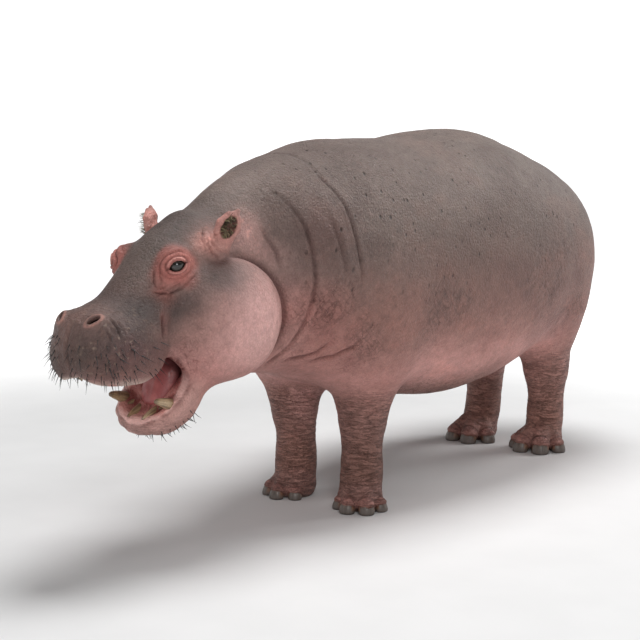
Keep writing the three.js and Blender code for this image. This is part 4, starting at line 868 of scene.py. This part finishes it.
def hide_material():
    n = Nodes("hide")
    base = n.attr("hide_colour").outputs["Color"]
    wet = n.attr("wet").outputs["Fac"]
    coarse = n.attr("coarse").outputs["Fac"]
    leg = n.attr("leg").outputs["Fac"]
    dry = n.math("SUBTRACT", 1.0, wet)

    def lines(rot, scale, width, detail=3.0):
        f = n.noise(n.mapped(rot, scale), 1.0, detail, 0.6)
        return n.band(n.math("ABSOLUTE", n.math("SUBTRACT", f, 0.5)), 0.0, width, 1.0, 0.0)
    # long crossing wrinkles on the flanks, level ones on the legs
    w1 = lines((38, 0, 0), (9, 34, 9), 0.045)
    w2 = lines((-44, 0, 15), (9, 38, 11), 0.04)
    w3 = lines((0, 0, 0), (9, 9, 46), 0.055)
    w4 = lines((12, 8, 0), (16, 16, 80), 0.05)
    zone = n.band(n.noise(n.co, 3.0, 2.0), 0.40, 0.62, 0.10, 0.8)
    low = n.band(n.new("ShaderNodeSeparateXYZ", {0: n.co}).outputs[2], 0.85, 1.35, 0.75, 0.2)
    flank = n.math("MULTIPLY", n.math("MULTIPLY", n.math("ADD", w1, w2), n.math("MULTIPLY", zone, n.math("MULTIPLY", coarse, low))), n.math("SUBTRACT", 1.0, leg))
    shank = n.math("MULTIPLY", n.math("ADD", n.math("MULTIPLY", w3, 0.75), n.math("MULTIPLY", w4, 0.5)), leg)
    wr = n.math("MULTIPLY", n.math("ADD", flank, shank), dry)
    # pits: short dark dashes, in patches, on back, shoulders and flanks
    cell = n.new("ShaderNodeTexVoronoi", {"Vector": n.mapped((15, 0, 0), (22, 30, 17)), "Scale": 1.0, "Randomness": 1.0})
    pick = n.new("ShaderNodeSeparateColor", {0: cell.outputs["Color"]}).outputs[0]
    many = n.band(n.noise(n.co, 2.6, 2.0), 0.34, 0.56, 0.0, 1.0)
    pit = n.math("MULTIPLY", n.band(cell.outputs["Distance"], 0.07, 0.21, 1.0, 0.0), n.band(pick, 0.30, 0.38))
    high = n.band(n.new("ShaderNodeSeparateXYZ", {0: n.co}).outputs[2], 0.75, 1.15, 0.25, 1.0)
    pit = n.math("MULTIPLY", n.math("MULTIPLY", pit, n.math("MULTIPLY", coarse, high)), n.math("ADD", 0.45, n.math("MULTIPLY", many, 0.55)))
    # pebbles, fine grain and soft lumps
    peb = n.new("ShaderNodeTexVoronoi", {"Vector": n.mapped((20, 0, 0), (88, 88, 64)), "Scale": 1.0}, feature="DISTANCE_TO_EDGE").outputs["Distance"]
    peb = n.band(peb, 0.0, 0.32)
    lump = n.noise(n.co, 55.0, 3.0, 0.6)
    fine = n.noise(n.co, 300.0, 3.0, 0.65)
    h = n.math("ADD", n.math("MULTIPLY", wr, -1.0), n.math("MULTIPLY", pit, -1.7))
    h = n.math("ADD", h, n.math("MULTIPLY", peb, n.math("ADD", 0.25, n.math("MULTIPLY", coarse, 0.20))))
    h = n.math("ADD", h, n.math("MULTIPLY", lump, 1.1))
    h = n.math("ADD", h, n.math("MULTIPLY", fine, 0.35))
    # colour: painted shade in wrinkles, pits and between the pebbles; small mottles of lighter and darker skin
    mott = n.band(n.noise(n.co, 38.0, 4.0, 0.65), 0.3, 0.7, 0.89, 1.10)
    spk = n.band(n.noise(n.co, 150.0, 3.0, 0.6), 0.35, 0.72, 1.05, 0.90)
    pebble_edge_shade = n.band(peb, 0.0, 1.0, 0.93, 1.02)
    dark = n.math("SUBTRACT", 1.0, n.math("ADD", n.math("MULTIPLY", wr, 0.36), n.math("MULTIPLY", pit, 0.62)), clamp=True)
    v = n.math("MULTIPLY", n.math("MULTIPLY", n.math("MULTIPLY", mott, spk), pebble_edge_shade), dark)
    v = n.math("ADD", n.math("MULTIPLY", v, n.math("SUBTRACT", 1.0, n.math("MULTIPLY", wet, 0.5))), n.math("MULTIPLY", wet, 0.5))
    col = n.new("ShaderNodeVectorMath", {0: base, "Scale": v}, operation="SCALE").outputs[0]
    red = n.band(n.noise(n.co, 20.0, 3.0, 0.6), 0.45, 0.75, 0.0, 0.22)
    warm = n.new("ShaderNodeVectorMath", {0: col, 1: (1.10, 0.95, 0.93)}, operation="MULTIPLY").outputs[0]
    col = n.mixc(red, col, warm)
    rough = n.math("ADD", n.math("MULTIPLY", n.noise(n.co, 60.0, 2.0), 0.18), n.math("SUBTRACT", 0.44, n.math("MULTIPLY", wet, 0.20)))
    return n.out(Base_Color=col, Roughness=rough, Normal=n.bump(h, 1.0, 0.0052), Specular_IOR_Level=0.26)


def attribute_material(name, rough, bump_scale, bump_distance, strength=0.6, coat=0.0, spec=0.5, stretch=(1, 1, 1), vary=0.12):
    n = Nodes(name)
    base = n.attr("hide_colour").outputs["Color"]
    f = n.noise(n.mapped((0, 0, 0), stretch), bump_scale, 3.0, 0.6)
    v = n.band(f, 0.3, 0.7, 1 - vary, 1 + vary)
    col = n.new("ShaderNodeVectorMath", {0: base, "Scale": v}, operation="SCALE").outputs[0]
    r = n.math("ADD", n.math("MULTIPLY", f, 0.12), rough - 0.06)
    return n.out(Base_Color=col, Roughness=r, Normal=n.bump(f, strength, bump_distance), Specular_IOR_Level=spec, Coat_Weight=coat, Coat_Roughness=0.05)


def join(parts):
    """Several (vertices, faces, attribute rows) as one."""
    V, Q, A, n = [], [], [], 0
    for v, q, a in parts:
        V.append(v); Q.append(np.asarray(q) + n); A.append(a)
        n += len(v)
    return np.concatenate(V), np.concatenate(Q), np.concatenate(A)


def finish_piece(ob, mat, slot, *nodes):
    ob.data.materials.append(mat)
    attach(ob, "root")
    if nodes:
        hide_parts(*nodes)
    return ob


# ---------------------------------------------------------------- skin
def make_skin():
    V, Q, N = skin_mesh()
    Nn = normals_of(V, Q)
    D = relief(V, Nn)
    V = V + Nn * D[:, None]
    V[:, 2] = np.maximum(V[:, 2], 0)
    Nn = normals_of(V, Q)
    inside = mouth_mask(V, Nn)
    C = hide_colours(V, Nn, inside)
    # painted shade: darker down in folds, wrinkles and creases
    C = C * (1 - np.array([0.52, 0.60, 0.60]) * hollows(V, D)[:, None])
    ax, y, z = np.abs(V[:, 0]), V[:, 1], V[:, 2]
    g = np.linalg.norm(np.stack([ax, y, z], 1) - EYE_CENTRE, axis=1)
    nd = np.linalg.norm(np.stack([ax, y, z], 1) - NOSTRIL, axis=1)
    wet = np.clip(inside + (1 - ramp(g, 34, 42)) + 0.35 * blob(V, (90, -1990, 830), (150, 130, 110)) + 0.5 * (1 - ramp(nd, 18, 30)), 0, 1)
    leg = np.clip((1 - ramp(z, 430, 620)) + 0.0, 0, 1)
    coarse = ramp(y, -1330, -1050) * ramp(z, 520, 760) * (1 - inside)
    ob = mesh_object("skin", V, Q, [("hide_colour", "FLOAT_COLOR", C), ("wet", "FLOAT", wet), ("leg", "FLOAT", leg), ("coarse", "FLOAT", coarse)])
    finish_piece(ob, hide_material(), "skin", "trunk", "neck", "head", "lower_jaw", "tail", "ear_left", "ear_right",
                 "foreleg_left", "foreleg_right", "hindleg_left", "hindleg_right")
    return V, Nn, inside


skin_V, skin_N, skin_inside = make_skin()


# ---------------------------------------------------------------- eyes
def eye(side):
    look = LOOK * [side, 1, 1]
    up = np.array([0, 0, 1.0]); across = np.cross(look, up); across /= np.linalg.norm(across); top = np.cross(across, look)
    rings, seg = 64, 72
    th = np.linspace(0, math.pi, rings + 1)[1:-1]
    ph = np.arange(seg) * 2 * math.pi / seg
    T, F = np.meshgrid(th, ph, indexing="ij")
    T, F = np.concatenate([[0], T.ravel(), [math.pi]]), np.concatenate([[0], F.ravel(), [0]])
    R = EYE_RADIUS * (1 + 0.045 * np.exp(-(T / 0.42) ** 2))
    D = np.sin(T)[:, None] * (np.cos(F)[:, None] * across + np.sin(F)[:, None] * top) + np.cos(T)[:, None] * look
    V = EYE_CENTRE * [side, 1, 1] + D * R[:, None]
    idx = 1 + np.arange((rings - 1) * seg).reshape(rings - 1, seg)
    nxt = np.roll(idx, -1, 1)
    quads = np.stack([idx[:-1], idx[1:], nxt[1:], nxt[:-1]], -1).reshape(-1, 4)
    tri0 = np.stack([np.zeros(seg, int), idx[0], nxt[0], nxt[0]], 1)[:, :3]
    tri1 = np.stack([np.full(seg, len(V) - 1), nxt[-1], idx[-1]], 1)
    tris = np.concatenate([quads[:, [0, 1, 2]], quads[:, [0, 2, 3]], tri0, tri1])
    if side < 0 or True:
        c = V[tris[len(tris) // 2]]
        if np.dot(np.cross(c[1] - c[0], c[2] - c[0]), c.mean(0) - EYE_CENTRE * [side, 1, 1]) < 0:
            tris = tris[:, ::-1]
    # iris in streaks round a wide pupil, a dark edge, then brown-grey
    a, b = np.sin(T) * np.cos(F), np.sin(T) * np.sin(F)
    pupil = np.sqrt((a / 0.52) ** 2 + (b / 0.27) ** 2)
    streak = 0.5 + 0.5 * np.sin(F * 31 + 3 * np.sin(F * 7))
    C = np.tile(rgb(64, 50, 45), (len(V), 1))
    C = mix(C, rgb(40, 37, 34), 1 - ramp(T, 0.92, 1.0))
    C = mix(C, rgb(46, 42, 38), (1 - ramp(T, 0.66, 0.88)) * (0.45 + 0.55 * streak))
    C = mix(C, rgb(20, 17, 16), np.exp(-((T - 0.94) / 0.10) ** 2))
    C = mix(C, rgb(8, 7, 7), 1 - ramp(pupil, 0.9, 1.15))
    name = "eyeball_left" if side > 0 else "eyeball_right"
    ob = mesh_object(name, V, tris, [("hide_colour", "FLOAT_COLOR", C)])
    finish_piece(ob, eye_mat, "eye", "eye_left" if side > 0 else "eye_right")


eye_mat = attribute_material("eye", 0.16, 300.0, 0.0001, strength=0.05, coat=0.45, spec=0.4, vary=0.05)
eye(1)
eye(-1)


# ---------------------------------------------------------------- teeth
def bezier(a, b, c, t):
    """A curve through a, b (half-way) and c."""
    a, b, c = (np.array(v, float) for v in (a, b, c))
    m = 2 * b - 0.5 * (a + c)
    t = t[:, None]
    return (1 - t) ** 2 * a + 2 * t * (1 - t) * m + t ** 2 * c


def tooth(a, b, c, r, seed, side=1, cone=0.0, seg=28, rings=34):
    t = np.linspace(0, 1, rings)
    P = bezier(a, b, c, t)
    d = np.gradient(P, axis=0); d /= np.linalg.norm(d, axis=1, keepdims=True)
    ref = np.array([1.0, 0, 0]) if abs(d[0, 0]) < 0.8 else np.array([0, 0, 1.0])
    u = np.cross(d, ref); u /= np.linalg.norm(u, axis=1, keepdims=True)
    v = np.cross(d, u)
    rad = r * np.interp(t, [0, 0.08, 0.35, 0.6, 0.8, 0.92, 0.97, 1.0], [0.80, 0.92, 1.0, 0.88, 0.68, 0.50, 0.36, 0.06])
    rad = rad * (1 - cone) + cone * r * np.interp(t, [0, 0.3, 0.6, 0.85, 0.96, 1.0], [1.1, 1.05, 0.78, 0.46, 0.28, 0.05])
    ph = np.arange(seg) * 2 * math.pi / seg
    V = []
    for k in range(rings):
        ridge = 1 + 0.035 * np.cos(5 * ph + seed) + 0.018 * np.cos(13 * ph + 2 * seed)
        V.append(P[k] + rad[k] * ridge[:, None] * (np.cos(ph)[:, None] * u[k] + 0.88 * np.sin(ph)[:, None] * v[k]))
    V = np.concatenate(V + [P[:1], P[-1:] + d[-1:] * rad[-1] * 0.4])
    idx = np.arange(rings * seg).reshape(rings, seg)
    nxt = np.roll(idx, -1, 1)
    q = np.concatenate([np.stack([idx[:-1], nxt[:-1], nxt[1:]], -1).reshape(-1, 3), np.stack([idx[:-1], nxt[1:], idx[1:]], -1).reshape(-1, 3),
                        np.stack([np.full(seg, rings * seg), nxt[0], idx[0]], 1), np.stack([np.full(seg, rings * seg + 1), idx[-1], nxt[-1]], 1)])
    mid = P[rings // 2]
    tri = V[q[0]]
    if np.dot(np.cross(tri[1] - tri[0], tri[2] - tri[0]), tri.mean(0) - P[0]) < 0:
        q = q[:, ::-1]
    T = np.concatenate([np.repeat(t, seg), [0, 1]])
    F = np.concatenate([np.tile(ph, rings), [0, 0]])
    C = np.tile(rgb(152, 128, 98), (len(V), 1))
    C = mix(C, rgb(88, 60, 38), 0.85 * (1 - ramp(T, 0.26, 0.52)))
    C = mix(C, rgb(192, 170, 138), 0.65 * ramp(T, 0.45, 0.75) * (0.5 + 0.5 * np.cos(F + seed)))
    C = mix(C, rgb(84, 62, 42), 0.8 * ramp(T, 0.84, 0.98))
    C = mix(C, rgb(98, 74, 50), 0.6 * ramp(np.cos(9 * F + 4 * T + seed), 0.5, 0.95))
    C = mix(C, rgb(64, 44, 32), 0.6 * ramp(np.cos(3 * F + 2.2 * seed), 0.6, 1.0) * (1 - ramp(T, 0.7, 0.9)))
    V = V * [side, 1, 1]
    if side < 0:
        q = q[:, ::-1]
    return V, q, C


tooth_mat = attribute_material("tooth", 0.34, 240.0, 0.0006, strength=0.5, coat=0.25, spec=0.5, vary=0.16)
TEETH = {
    "lower_tusk": (jaw(346, -34, 111), jaw(372, 24, 121), jaw(405, 84, 118), 23, 0.3),
    "lower_incisor": (jaw(348, -38, 38), jaw(400, -6, 40), jaw(451, 18, 38), 17, 1.2),
    "side_incisor": (jaw(340, -38, 80), jaw(366, -7, 82), jaw(394, 14, 82), 10.5, 2.1),
    "upper_tusk": ([106, -1936, 782], [109, -1944, 740], [110, -1944, 697], 17, 0.8),
    "upper_incisor": ([34, -1999, 788], [35, -2004, 747], [35, -2000, 707], 12, 1.7),
}
for k, (a, b, c, r, seed) in TEETH.items():
    for side, word in ((1, "left"), (-1, "right")):
        V, q, C = tooth(a, b, c, r, seed + (0 if side > 0 else 0.9), side, 0.9 if "incisor" in k else 0.35)
        finish_piece(mesh_object(k + "_" + word + "_tooth", V, q, [("hide_colour", "FLOAT_COLOR", C)]), tooth_mat, "tooth", k + "_" + word)


# ---------------------------------------------------------------- tongue
tongue_forms = [Ell(jaw(300, -10, 0), [66, 70, 34], [45, 0, 0], 40, 2.3), Ell(jaw(225, 10, 0), [76, 90, 46], [52, 0, 0], 40, 2.3),
                Limb(jaw(220, 12, 0), jaw(110, 40, 0), 46, 38, 50)]


def tongue_field(P):
    return blend_in(P, np.full(P.shape, 1000, P.dtype), tongue_forms)


def make_tongue():
    V, Q, _ = nets(tongue_field, spaced([(0, 105, 3.2)]), spaced([(-1770, -1460, 3.2)]), spaced([(560, 870, 3.2)]), True)
    Nn = normals_of(V, Q)
    V = V + Nn * (1.6 * noise(V, 26, 60) - 1.2 * np.exp(-(V[:, 0] / 9) ** 2) - 1.3 * crease(V, (14, 50, 50), 61, 0.16))[:, None]
    C = np.tile(rgb(148, 74, 74), (len(V), 1))
    C = mix(C, rgb(172, 96, 92), ramp(noise(V, 22, 62), 0, 0.6) * 0.7)
    C = mix(C, rgb(140, 78, 76), 0.6 * np.exp(-(V[:, 0] / 14) ** 2))
    # painted shade: the back of the tongue darkens into the throat
    C = mix(C, THROAT_SHADE, 1 - ramp(-V[:, 1], 1560, 1735))
    finish_piece(mesh_object("tongue_soft", V, Q, [("hide_colour", "FLOAT_COLOR", C)]),
                 attribute_material("tongue", 0.50, 380.0, 0.0009, strength=0.8, coat=0.1, vary=0.14), "tongue", "tongue")


make_tongue()


# ---------------------------------------------------------------- toenails
def make_nails():
    mat = attribute_material("nail", 0.46, 160.0, 0.0008, strength=0.6, coat=0.1, stretch=(1.0, 1.0, 0.35), vary=0.14)
    for leg, toes in (("fore", fore_toes), ("hind", hind_toes)):
        for i, t in enumerate(toes):
            c = np.array([t["x"] + math.sin(t["a"]) * t["r"] * 0.36, t["y"] - math.cos(t["a"]) * t["r"] * 0.36, t["r"] * 0.42])
            form = Ell(c, [t["r"] * 0.96, t["r"] * 0.80, t["r"] * 1.16], blend=1)
            form.m = turned(0, math.degrees(t["a"]), 0) @ turned(-18, 0, 0)
            def field(P, form=form):
                x, y, z = P.xyz()
                f = np.array(np.broadcast_to(form.at(x, y, z), P.shape), P.dtype)
                return smax(f, -z + 0 * f, 5)
            r = t["r"] * 1.35
            V, Q, _ = nets(field, spaced([(c[0] - r, c[0] + r, 3.0)]), spaced([(c[1] - r, c[1] + r, 3.0)]), spaced([(-6, 93, 3.0)]), False)
            Nn = normals_of(V, Q)
            q = (V - c) @ form.m
            ang = np.arctan2(q[:, 0], -q[:, 1])
            V = V + Nn * ((0.45 * np.cos(ang * 24) + 0.5 * noise(V, 9, 70 + i)) * ramp(V[:, 2], 3, 12))[:, None]
            V[:, 2] = np.maximum(V[:, 2], 0)
            h = V[:, 2] / (t["r"] * 1.5)
            C = np.tile(rgb(84, 74, 68), (len(V), 1))
            C = mix(C, rgb(104, 92, 84), 0.6 * ramp(h, 0.3, 0.6) * (0.5 + 0.5 * np.cos(ang * 9)))
            C = mix(C, rgb(112, 76, 54), 0.85 * np.maximum(ramp(h, 0.66, 0.92), ramp(np.abs(ang), 0.95, 1.3) * ramp(h, 0.2, 0.5)))
            # painted shade at the foot of each nail, where it meets the floor
            C = mix(C, rgb(58, 50, 46), 0.6 * (1 - ramp(h, 0.05, 0.22)))
            for side, word in ((1, "left"), (-1, "right")):
                W, K = (V, Q) if side > 0 else (V * [-1, 1, 1], Q[:, ::-1])
                node = f"nail_{leg}_{word}_{i + 1}"
                finish_piece(mesh_object("hoof_" + node[5:], W, K, [("hide_colour", "FLOAT_COLOR", C)]), mat, "nail", node)


make_nails()


# ---------------------------------------------------------------- bristles
def hair(root, direction, length, radius, droop, seed, sides=5, rings=6):
    """A thin tapering bristle that starts a little under the skin and curves as it goes."""
    d = np.array(direction, float); d /= np.linalg.norm(d)
    t = np.linspace(0, 1, rings)
    bend = np.array([math.sin(seed * 3.7), math.cos(seed * 2.3), 0]) * 0.12
    P = root - d * 3 + d * (t * (length + 3))[:, None] + (np.array([0, 0, -1.0]) * droop + bend)[None] * (t ** 2 * length * 0.5)[:, None]
    dd = np.gradient(P, axis=0); dd /= np.linalg.norm(dd, axis=1, keepdims=True)
    ref = np.array([0, 0, 1.0]) if abs(d[2]) < 0.8 else np.array([1.0, 0, 0])
    u = np.cross(dd, ref); u /= np.linalg.norm(u, axis=1, keepdims=True)
    v = np.cross(dd, u)
    rad = radius * (1 - 0.82 * t)
    ph = np.arange(sides) * 2 * math.pi / sides
    V = np.concatenate([P[k] + rad[k] * (np.cos(ph)[:, None] * u[k] + np.sin(ph)[:, None] * v[k]) for k in range(rings)] + [P[:1], P[-1:] + dd[-1:] * radius])
    idx = np.arange(rings * sides).reshape(rings, sides)
    nxt = np.roll(idx, -1, 1)
    q = np.concatenate([np.stack([idx[:-1], idx[1:], nxt[1:]], -1).reshape(-1, 3), np.stack([idx[:-1], nxt[1:], nxt[:-1]], -1).reshape(-1, 3),
                        np.stack([np.full(sides, rings * sides), idx[0], nxt[0]], 1), np.stack([np.full(sides, rings * sides + 1), nxt[-1], idx[-1]], 1)])
    return V, q


def unwrap_place(root):
    """Place on an unwrap of the skin's own shape: round the body's long axis, and along it."""
    mid = np.interp(root[1], [-2100, -1450, -1000, 1200], [860, 900, 990, 990])
    return 0.02 + 0.94 * ((root[1] + 2130) / 3420), 0.02 + 0.94 * (0.5 + math.atan2(root[0], root[2] - mid) / (2 * math.pi))


def hair_piece(name, hairs, mat):
    """hairs: (root, direction, length, radius, droop, colour) rows."""
    Vs, Qs, Cs, UV, n = [], [], [], [], 0
    for k, (root, d, length, radius, droop, colour) in enumerate(hairs):
        V, q = hair(np.array(root, float), d, length, radius, droop, k)
        a = V[q]
        if (np.cross(a[:, 1] - a[:, 0], a[:, 2] - a[:, 0]) * (a.mean(1) - V.mean(0))).sum() < 0:
            q = q[:, ::-1]
        cu, cv = unwrap_place(np.array(root, float))
        lo, span = V.min(0), max(float(np.ptp(V, axis=0).max()), 1e-6)
        along = np.linspace(0, 1, len(V) - 2)
        uv = np.concatenate([np.stack([along, (np.arange(len(V) - 2) % 5) / 4], 1), [[0, 0.5], [1, 0.5]]])
        UV.append((np.array([cu, cv]) + (uv - 0.5) * 0.003)[q].reshape(-1, 2))
        Vs.append(V); Qs.append(q + n); Cs.append(np.tile(colour, (len(V), 1)))
        n += len(V)
    V, Q, C, UV = map(np.concatenate, (Vs, Qs, Cs, UV))
    ob = mesh_object(name, V, Q, [("hide_colour", "FLOAT_COLOR", C)])
    layer = ob.data.uv_layers.new(name="OFBake")
    layer.data.foreach_set("uv", UV.astype(np.float32).ravel())
    return finish_piece(ob, mat, "skin")


def rooted(count, score, seed, spread, lo=0.3):
    """Picks well-spread roots on the skin where score is high."""
    rng = np.random.default_rng(seed)
    cand = np.nonzero(score > lo)[0]
    p = score[cand] / score[cand].sum()
    order = rng.choice(cand, size=min(len(cand), count * 12), replace=False, p=p)
    out = []
    for i in order:
        if all(np.linalg.norm(skin_V[i] - skin_V[j]) > spread for j in out):
            out.append(i)
            if len(out) == count:
                break
    return out


def make_bristles():
    rng = np.random.default_rng(11)
    V, Nn = skin_V, skin_N
    outside = 1 - skin_inside
    ax, y, z = np.abs(V[:, 0]), V[:, 1], V[:, 2]
    mat = attribute_material("bristle", 0.5, 900.0, 0.0001, strength=0.1, vary=0.1)
    black = rgb(26, 24, 24)
    hairs = []
    score = outside * ramp(-y, 1860, 1990) * (1 - ramp(z, 850, 905)) * ramp(z, 690, 715) * ramp(Nn[:, 2] * -1, -0.75, -0.3)
    for i in rooted(105, score, 21, 17):
        d = Nn[i] + rng.normal(0, 0.28, 3) + np.array([0, 0.15, -0.75])
        hairs.append((V[i], d, rng.uniform(14, 40), rng.uniform(1.5, 2.2), 0.5, black * rng.uniform(0.6, 1.2)))
    score = outside * ramp(-y, 1760, 1850) * (1 - ramp(z, 830, 880)) * ramp(z, 700, 730) * ramp(ax, 120, 160)
    for i in rooted(30, score, 22, 24):
        d = Nn[i] * 0.8 + rng.normal(0, 0.2, 3) + np.array([0, 0.55, -0.45])
        hairs.append((V[i], d, rng.uniform(28, 56), rng.uniform(1.9, 2.5), 0.2, black))
    hair_piece("bristles_muzzle", hairs, mat)
    hairs = []
    c, s = math.cos(math.radians(GAPE)), math.sin(math.radians(GAPE))
    u, w = -c * (y - HINGE_Y) - s * (z - HINGE_Z), -s * (y - HINGE_Y) + c * (z - HINGE_Z)
    score = outside * ramp(u, 290, 370) * (1 - ramp(w, -60, -30)) * ramp(-Nn[:, 2], -0.1, 0.4)
    for i in rooted(54, score, 23, 17):
        d = Nn[i] + rng.normal(0, 0.3, 3) + np.array([0, 0.2, -0.45])
        hairs.append((V[i], d, rng.uniform(20, 46), rng.uniform(1.5, 2.3), -0.5, black * (2.6 if rng.random() < 0.15 else 1.0)))
    hair_piece("bristles_chin", hairs, mat)
    hairs = []
    e = np.stack([ax, y, z], 1) - np.array([215, -1496, 1239])
    r = np.linalg.norm(e @ turned(0, EAR_TURN, EAR_LEAN) / [25, 24, 43], axis=1)
    axis = np.array([math.sin(math.radians(EAR_TURN)), -math.cos(math.radians(EAR_TURN)), 0.0])
    fronted = (Nn * np.stack([axis[0] * np.sign(V[:, 0]), np.full(len(V), axis[1]), np.zeros(len(V))], 1)).sum(1)
    score = (r < 1.12) * (r > 0.8) * ramp(fronted, -0.5, 0.1) * 1.0
    for i in rooted(260, score, 24, 3.2, 0.1):
        side = np.sign(V[i, 0])
        a = axis * [side, 1, 1]
        d = Nn[i] * 0.55 + a * 0.75 + rng.normal(0, 0.22, 3) + np.array([0, 0, 0.25])
        hairs.append((V[i], d, rng.uniform(18, 42), rng.uniform(1.1, 1.8), 0.1, rgb(*((138, 128, 98) if rng.random() < 0.55 else (48, 42, 30))) * rng.uniform(0.6, 1.3)))
    hair_piece("bristles_ear", hairs, mat)
    hairs = []
    score = (y > 1150) * (z < 900) * (1 - ramp(z, 745, 900)) * 1.0
    for i in rooted(170, score, 25, 4, 0.05):
        d = Nn[i] * 0.35 + rng.normal(0, 0.16, 3) + np.array([0, 0.05, -0.9])
        hairs.append((V[i], d, rng.uniform(22, 52), rng.uniform(0.6, 0.95), 0.2, black))
    hair_piece("bristles_tail", hairs, mat)


make_bristles()


# ---------------------------------------------------------------- floor, light and camera
def plain(name, colour, rough):
    n = Nodes(name)
    f = n.noise(n.co, 3.0, 3.0)
    v = n.band(f, 0.3, 0.7, 0.985, 1.015)
    col = n.new("ShaderNodeVectorMath", {0: (*colour,), "Scale": v}, operation="SCALE").outputs[0]
    return n.out(Base_Color=col, Roughness=rough)


def pale_floor():
    """A pale floor that glows more and more away from the middle: painted light, so it reads white as a lit studio
    sweep does.
    """
    n = Nodes("floor")
    f = n.noise(n.co, 3.0, 3.0)
    v = n.band(f, 0.3, 0.7, 0.985, 1.015)
    col = n.new("ShaderNodeVectorMath", {0: (0.66, 0.66, 0.66), "Scale": v}, operation="SCALE").outputs[0]
    # painted light: the floor glows from 2 m out, full white from 6 m
    far = n.new("ShaderNodeVectorMath", {0: n.co}, operation="LENGTH").outputs["Value"]
    glow = n.band(far, 2.0, 6.0, 0.0, 1.0)
    return n.out(Base_Color=col, Roughness=0.8, Emission_Color=(1, 1, 1, 1), Emission_Strength=glow)


bpy.ops.mesh.primitive_plane_add(size=120, location=(0, 0, 0))
floor = bpy.context.object
floor.name = "floor"
floor.data.materials.append(pale_floor())

# the studio: white all round at eye level, dimmer overhead
world = bpy.data.worlds.new("studio")
bpy.context.scene.world = world
world.use_nodes = True
wt = world.node_tree
bg = wt.nodes["Background"]
bg.inputs[0].default_value = (1, 1, 1, 1)
up = wt.nodes.new("ShaderNodeSeparateXYZ")
wt.links.new(wt.nodes.new("ShaderNodeTexCoord").outputs["Generated"], up.inputs[0])
sky = wt.nodes.new("ShaderNodeMapRange")
for k, val in (("From Min", 0.14), ("From Max", 0.32), ("To Min", 1.30), ("To Max", 0.09)):
    sky.inputs[k].default_value = val
wt.links.new(up.outputs["Z"], sky.inputs["Value"])
wt.links.new(sky.outputs["Result"], bg.inputs[1])
bpy.context.scene.view_settings.view_transform = "Standard"


def area(name, loc, target, size, power, colour=(1, 1, 1)):
    data = bpy.data.lights.new(name, "AREA")
    data.shape, data.size, data.energy, data.color = "DISK", size, power, colour
    ob = bpy.data.objects.new(name, data)
    bpy.context.scene.collection.objects.link(ob)
    ob.location = loc
    d = np.array(target, float) - np.array(loc, float)
    from mathutils import Vector
    ob.rotation_euler = Vector(d).to_track_quat("-Z", "Y").to_euler()
    return ob


area("overhead", (0.0, 0.5, 6.2), (0, 0, 0.5), 3.0, 365)
area("key", (5.0, -5.0, 4.9), (0, -0.2, 0.9), 3.0, 212)
area("left", (-4.4, -3.6, 4.4), (0, -0.6, 0.6), 2.6, 36)
area("back", (2.2, 5.8, 4.6), (0, 0, 0.6), 2.6, 190)

az, el = math.radians(38.826), math.radians(7.404)
cam_data = bpy.data.cameras.new("camera")
cam_data.lens, cam_data.sensor_width = 78.75, 36
cam = bpy.data.objects.new("camera", cam_data)
bpy.context.scene.collection.objects.link(cam)
cam.location = (3.69938, -5.29124 + ORIGIN_Y / 1000, 1.56427)
from mathutils import Vector
back = Vector((math.sin(az) * math.cos(el), -math.cos(az) * math.cos(el), math.sin(el)))
cam.rotation_mode = "QUATERNION"
cam.rotation_quaternion = (-back).to_track_quat("-Z", "Y")
bpy.context.scene.camera = cam
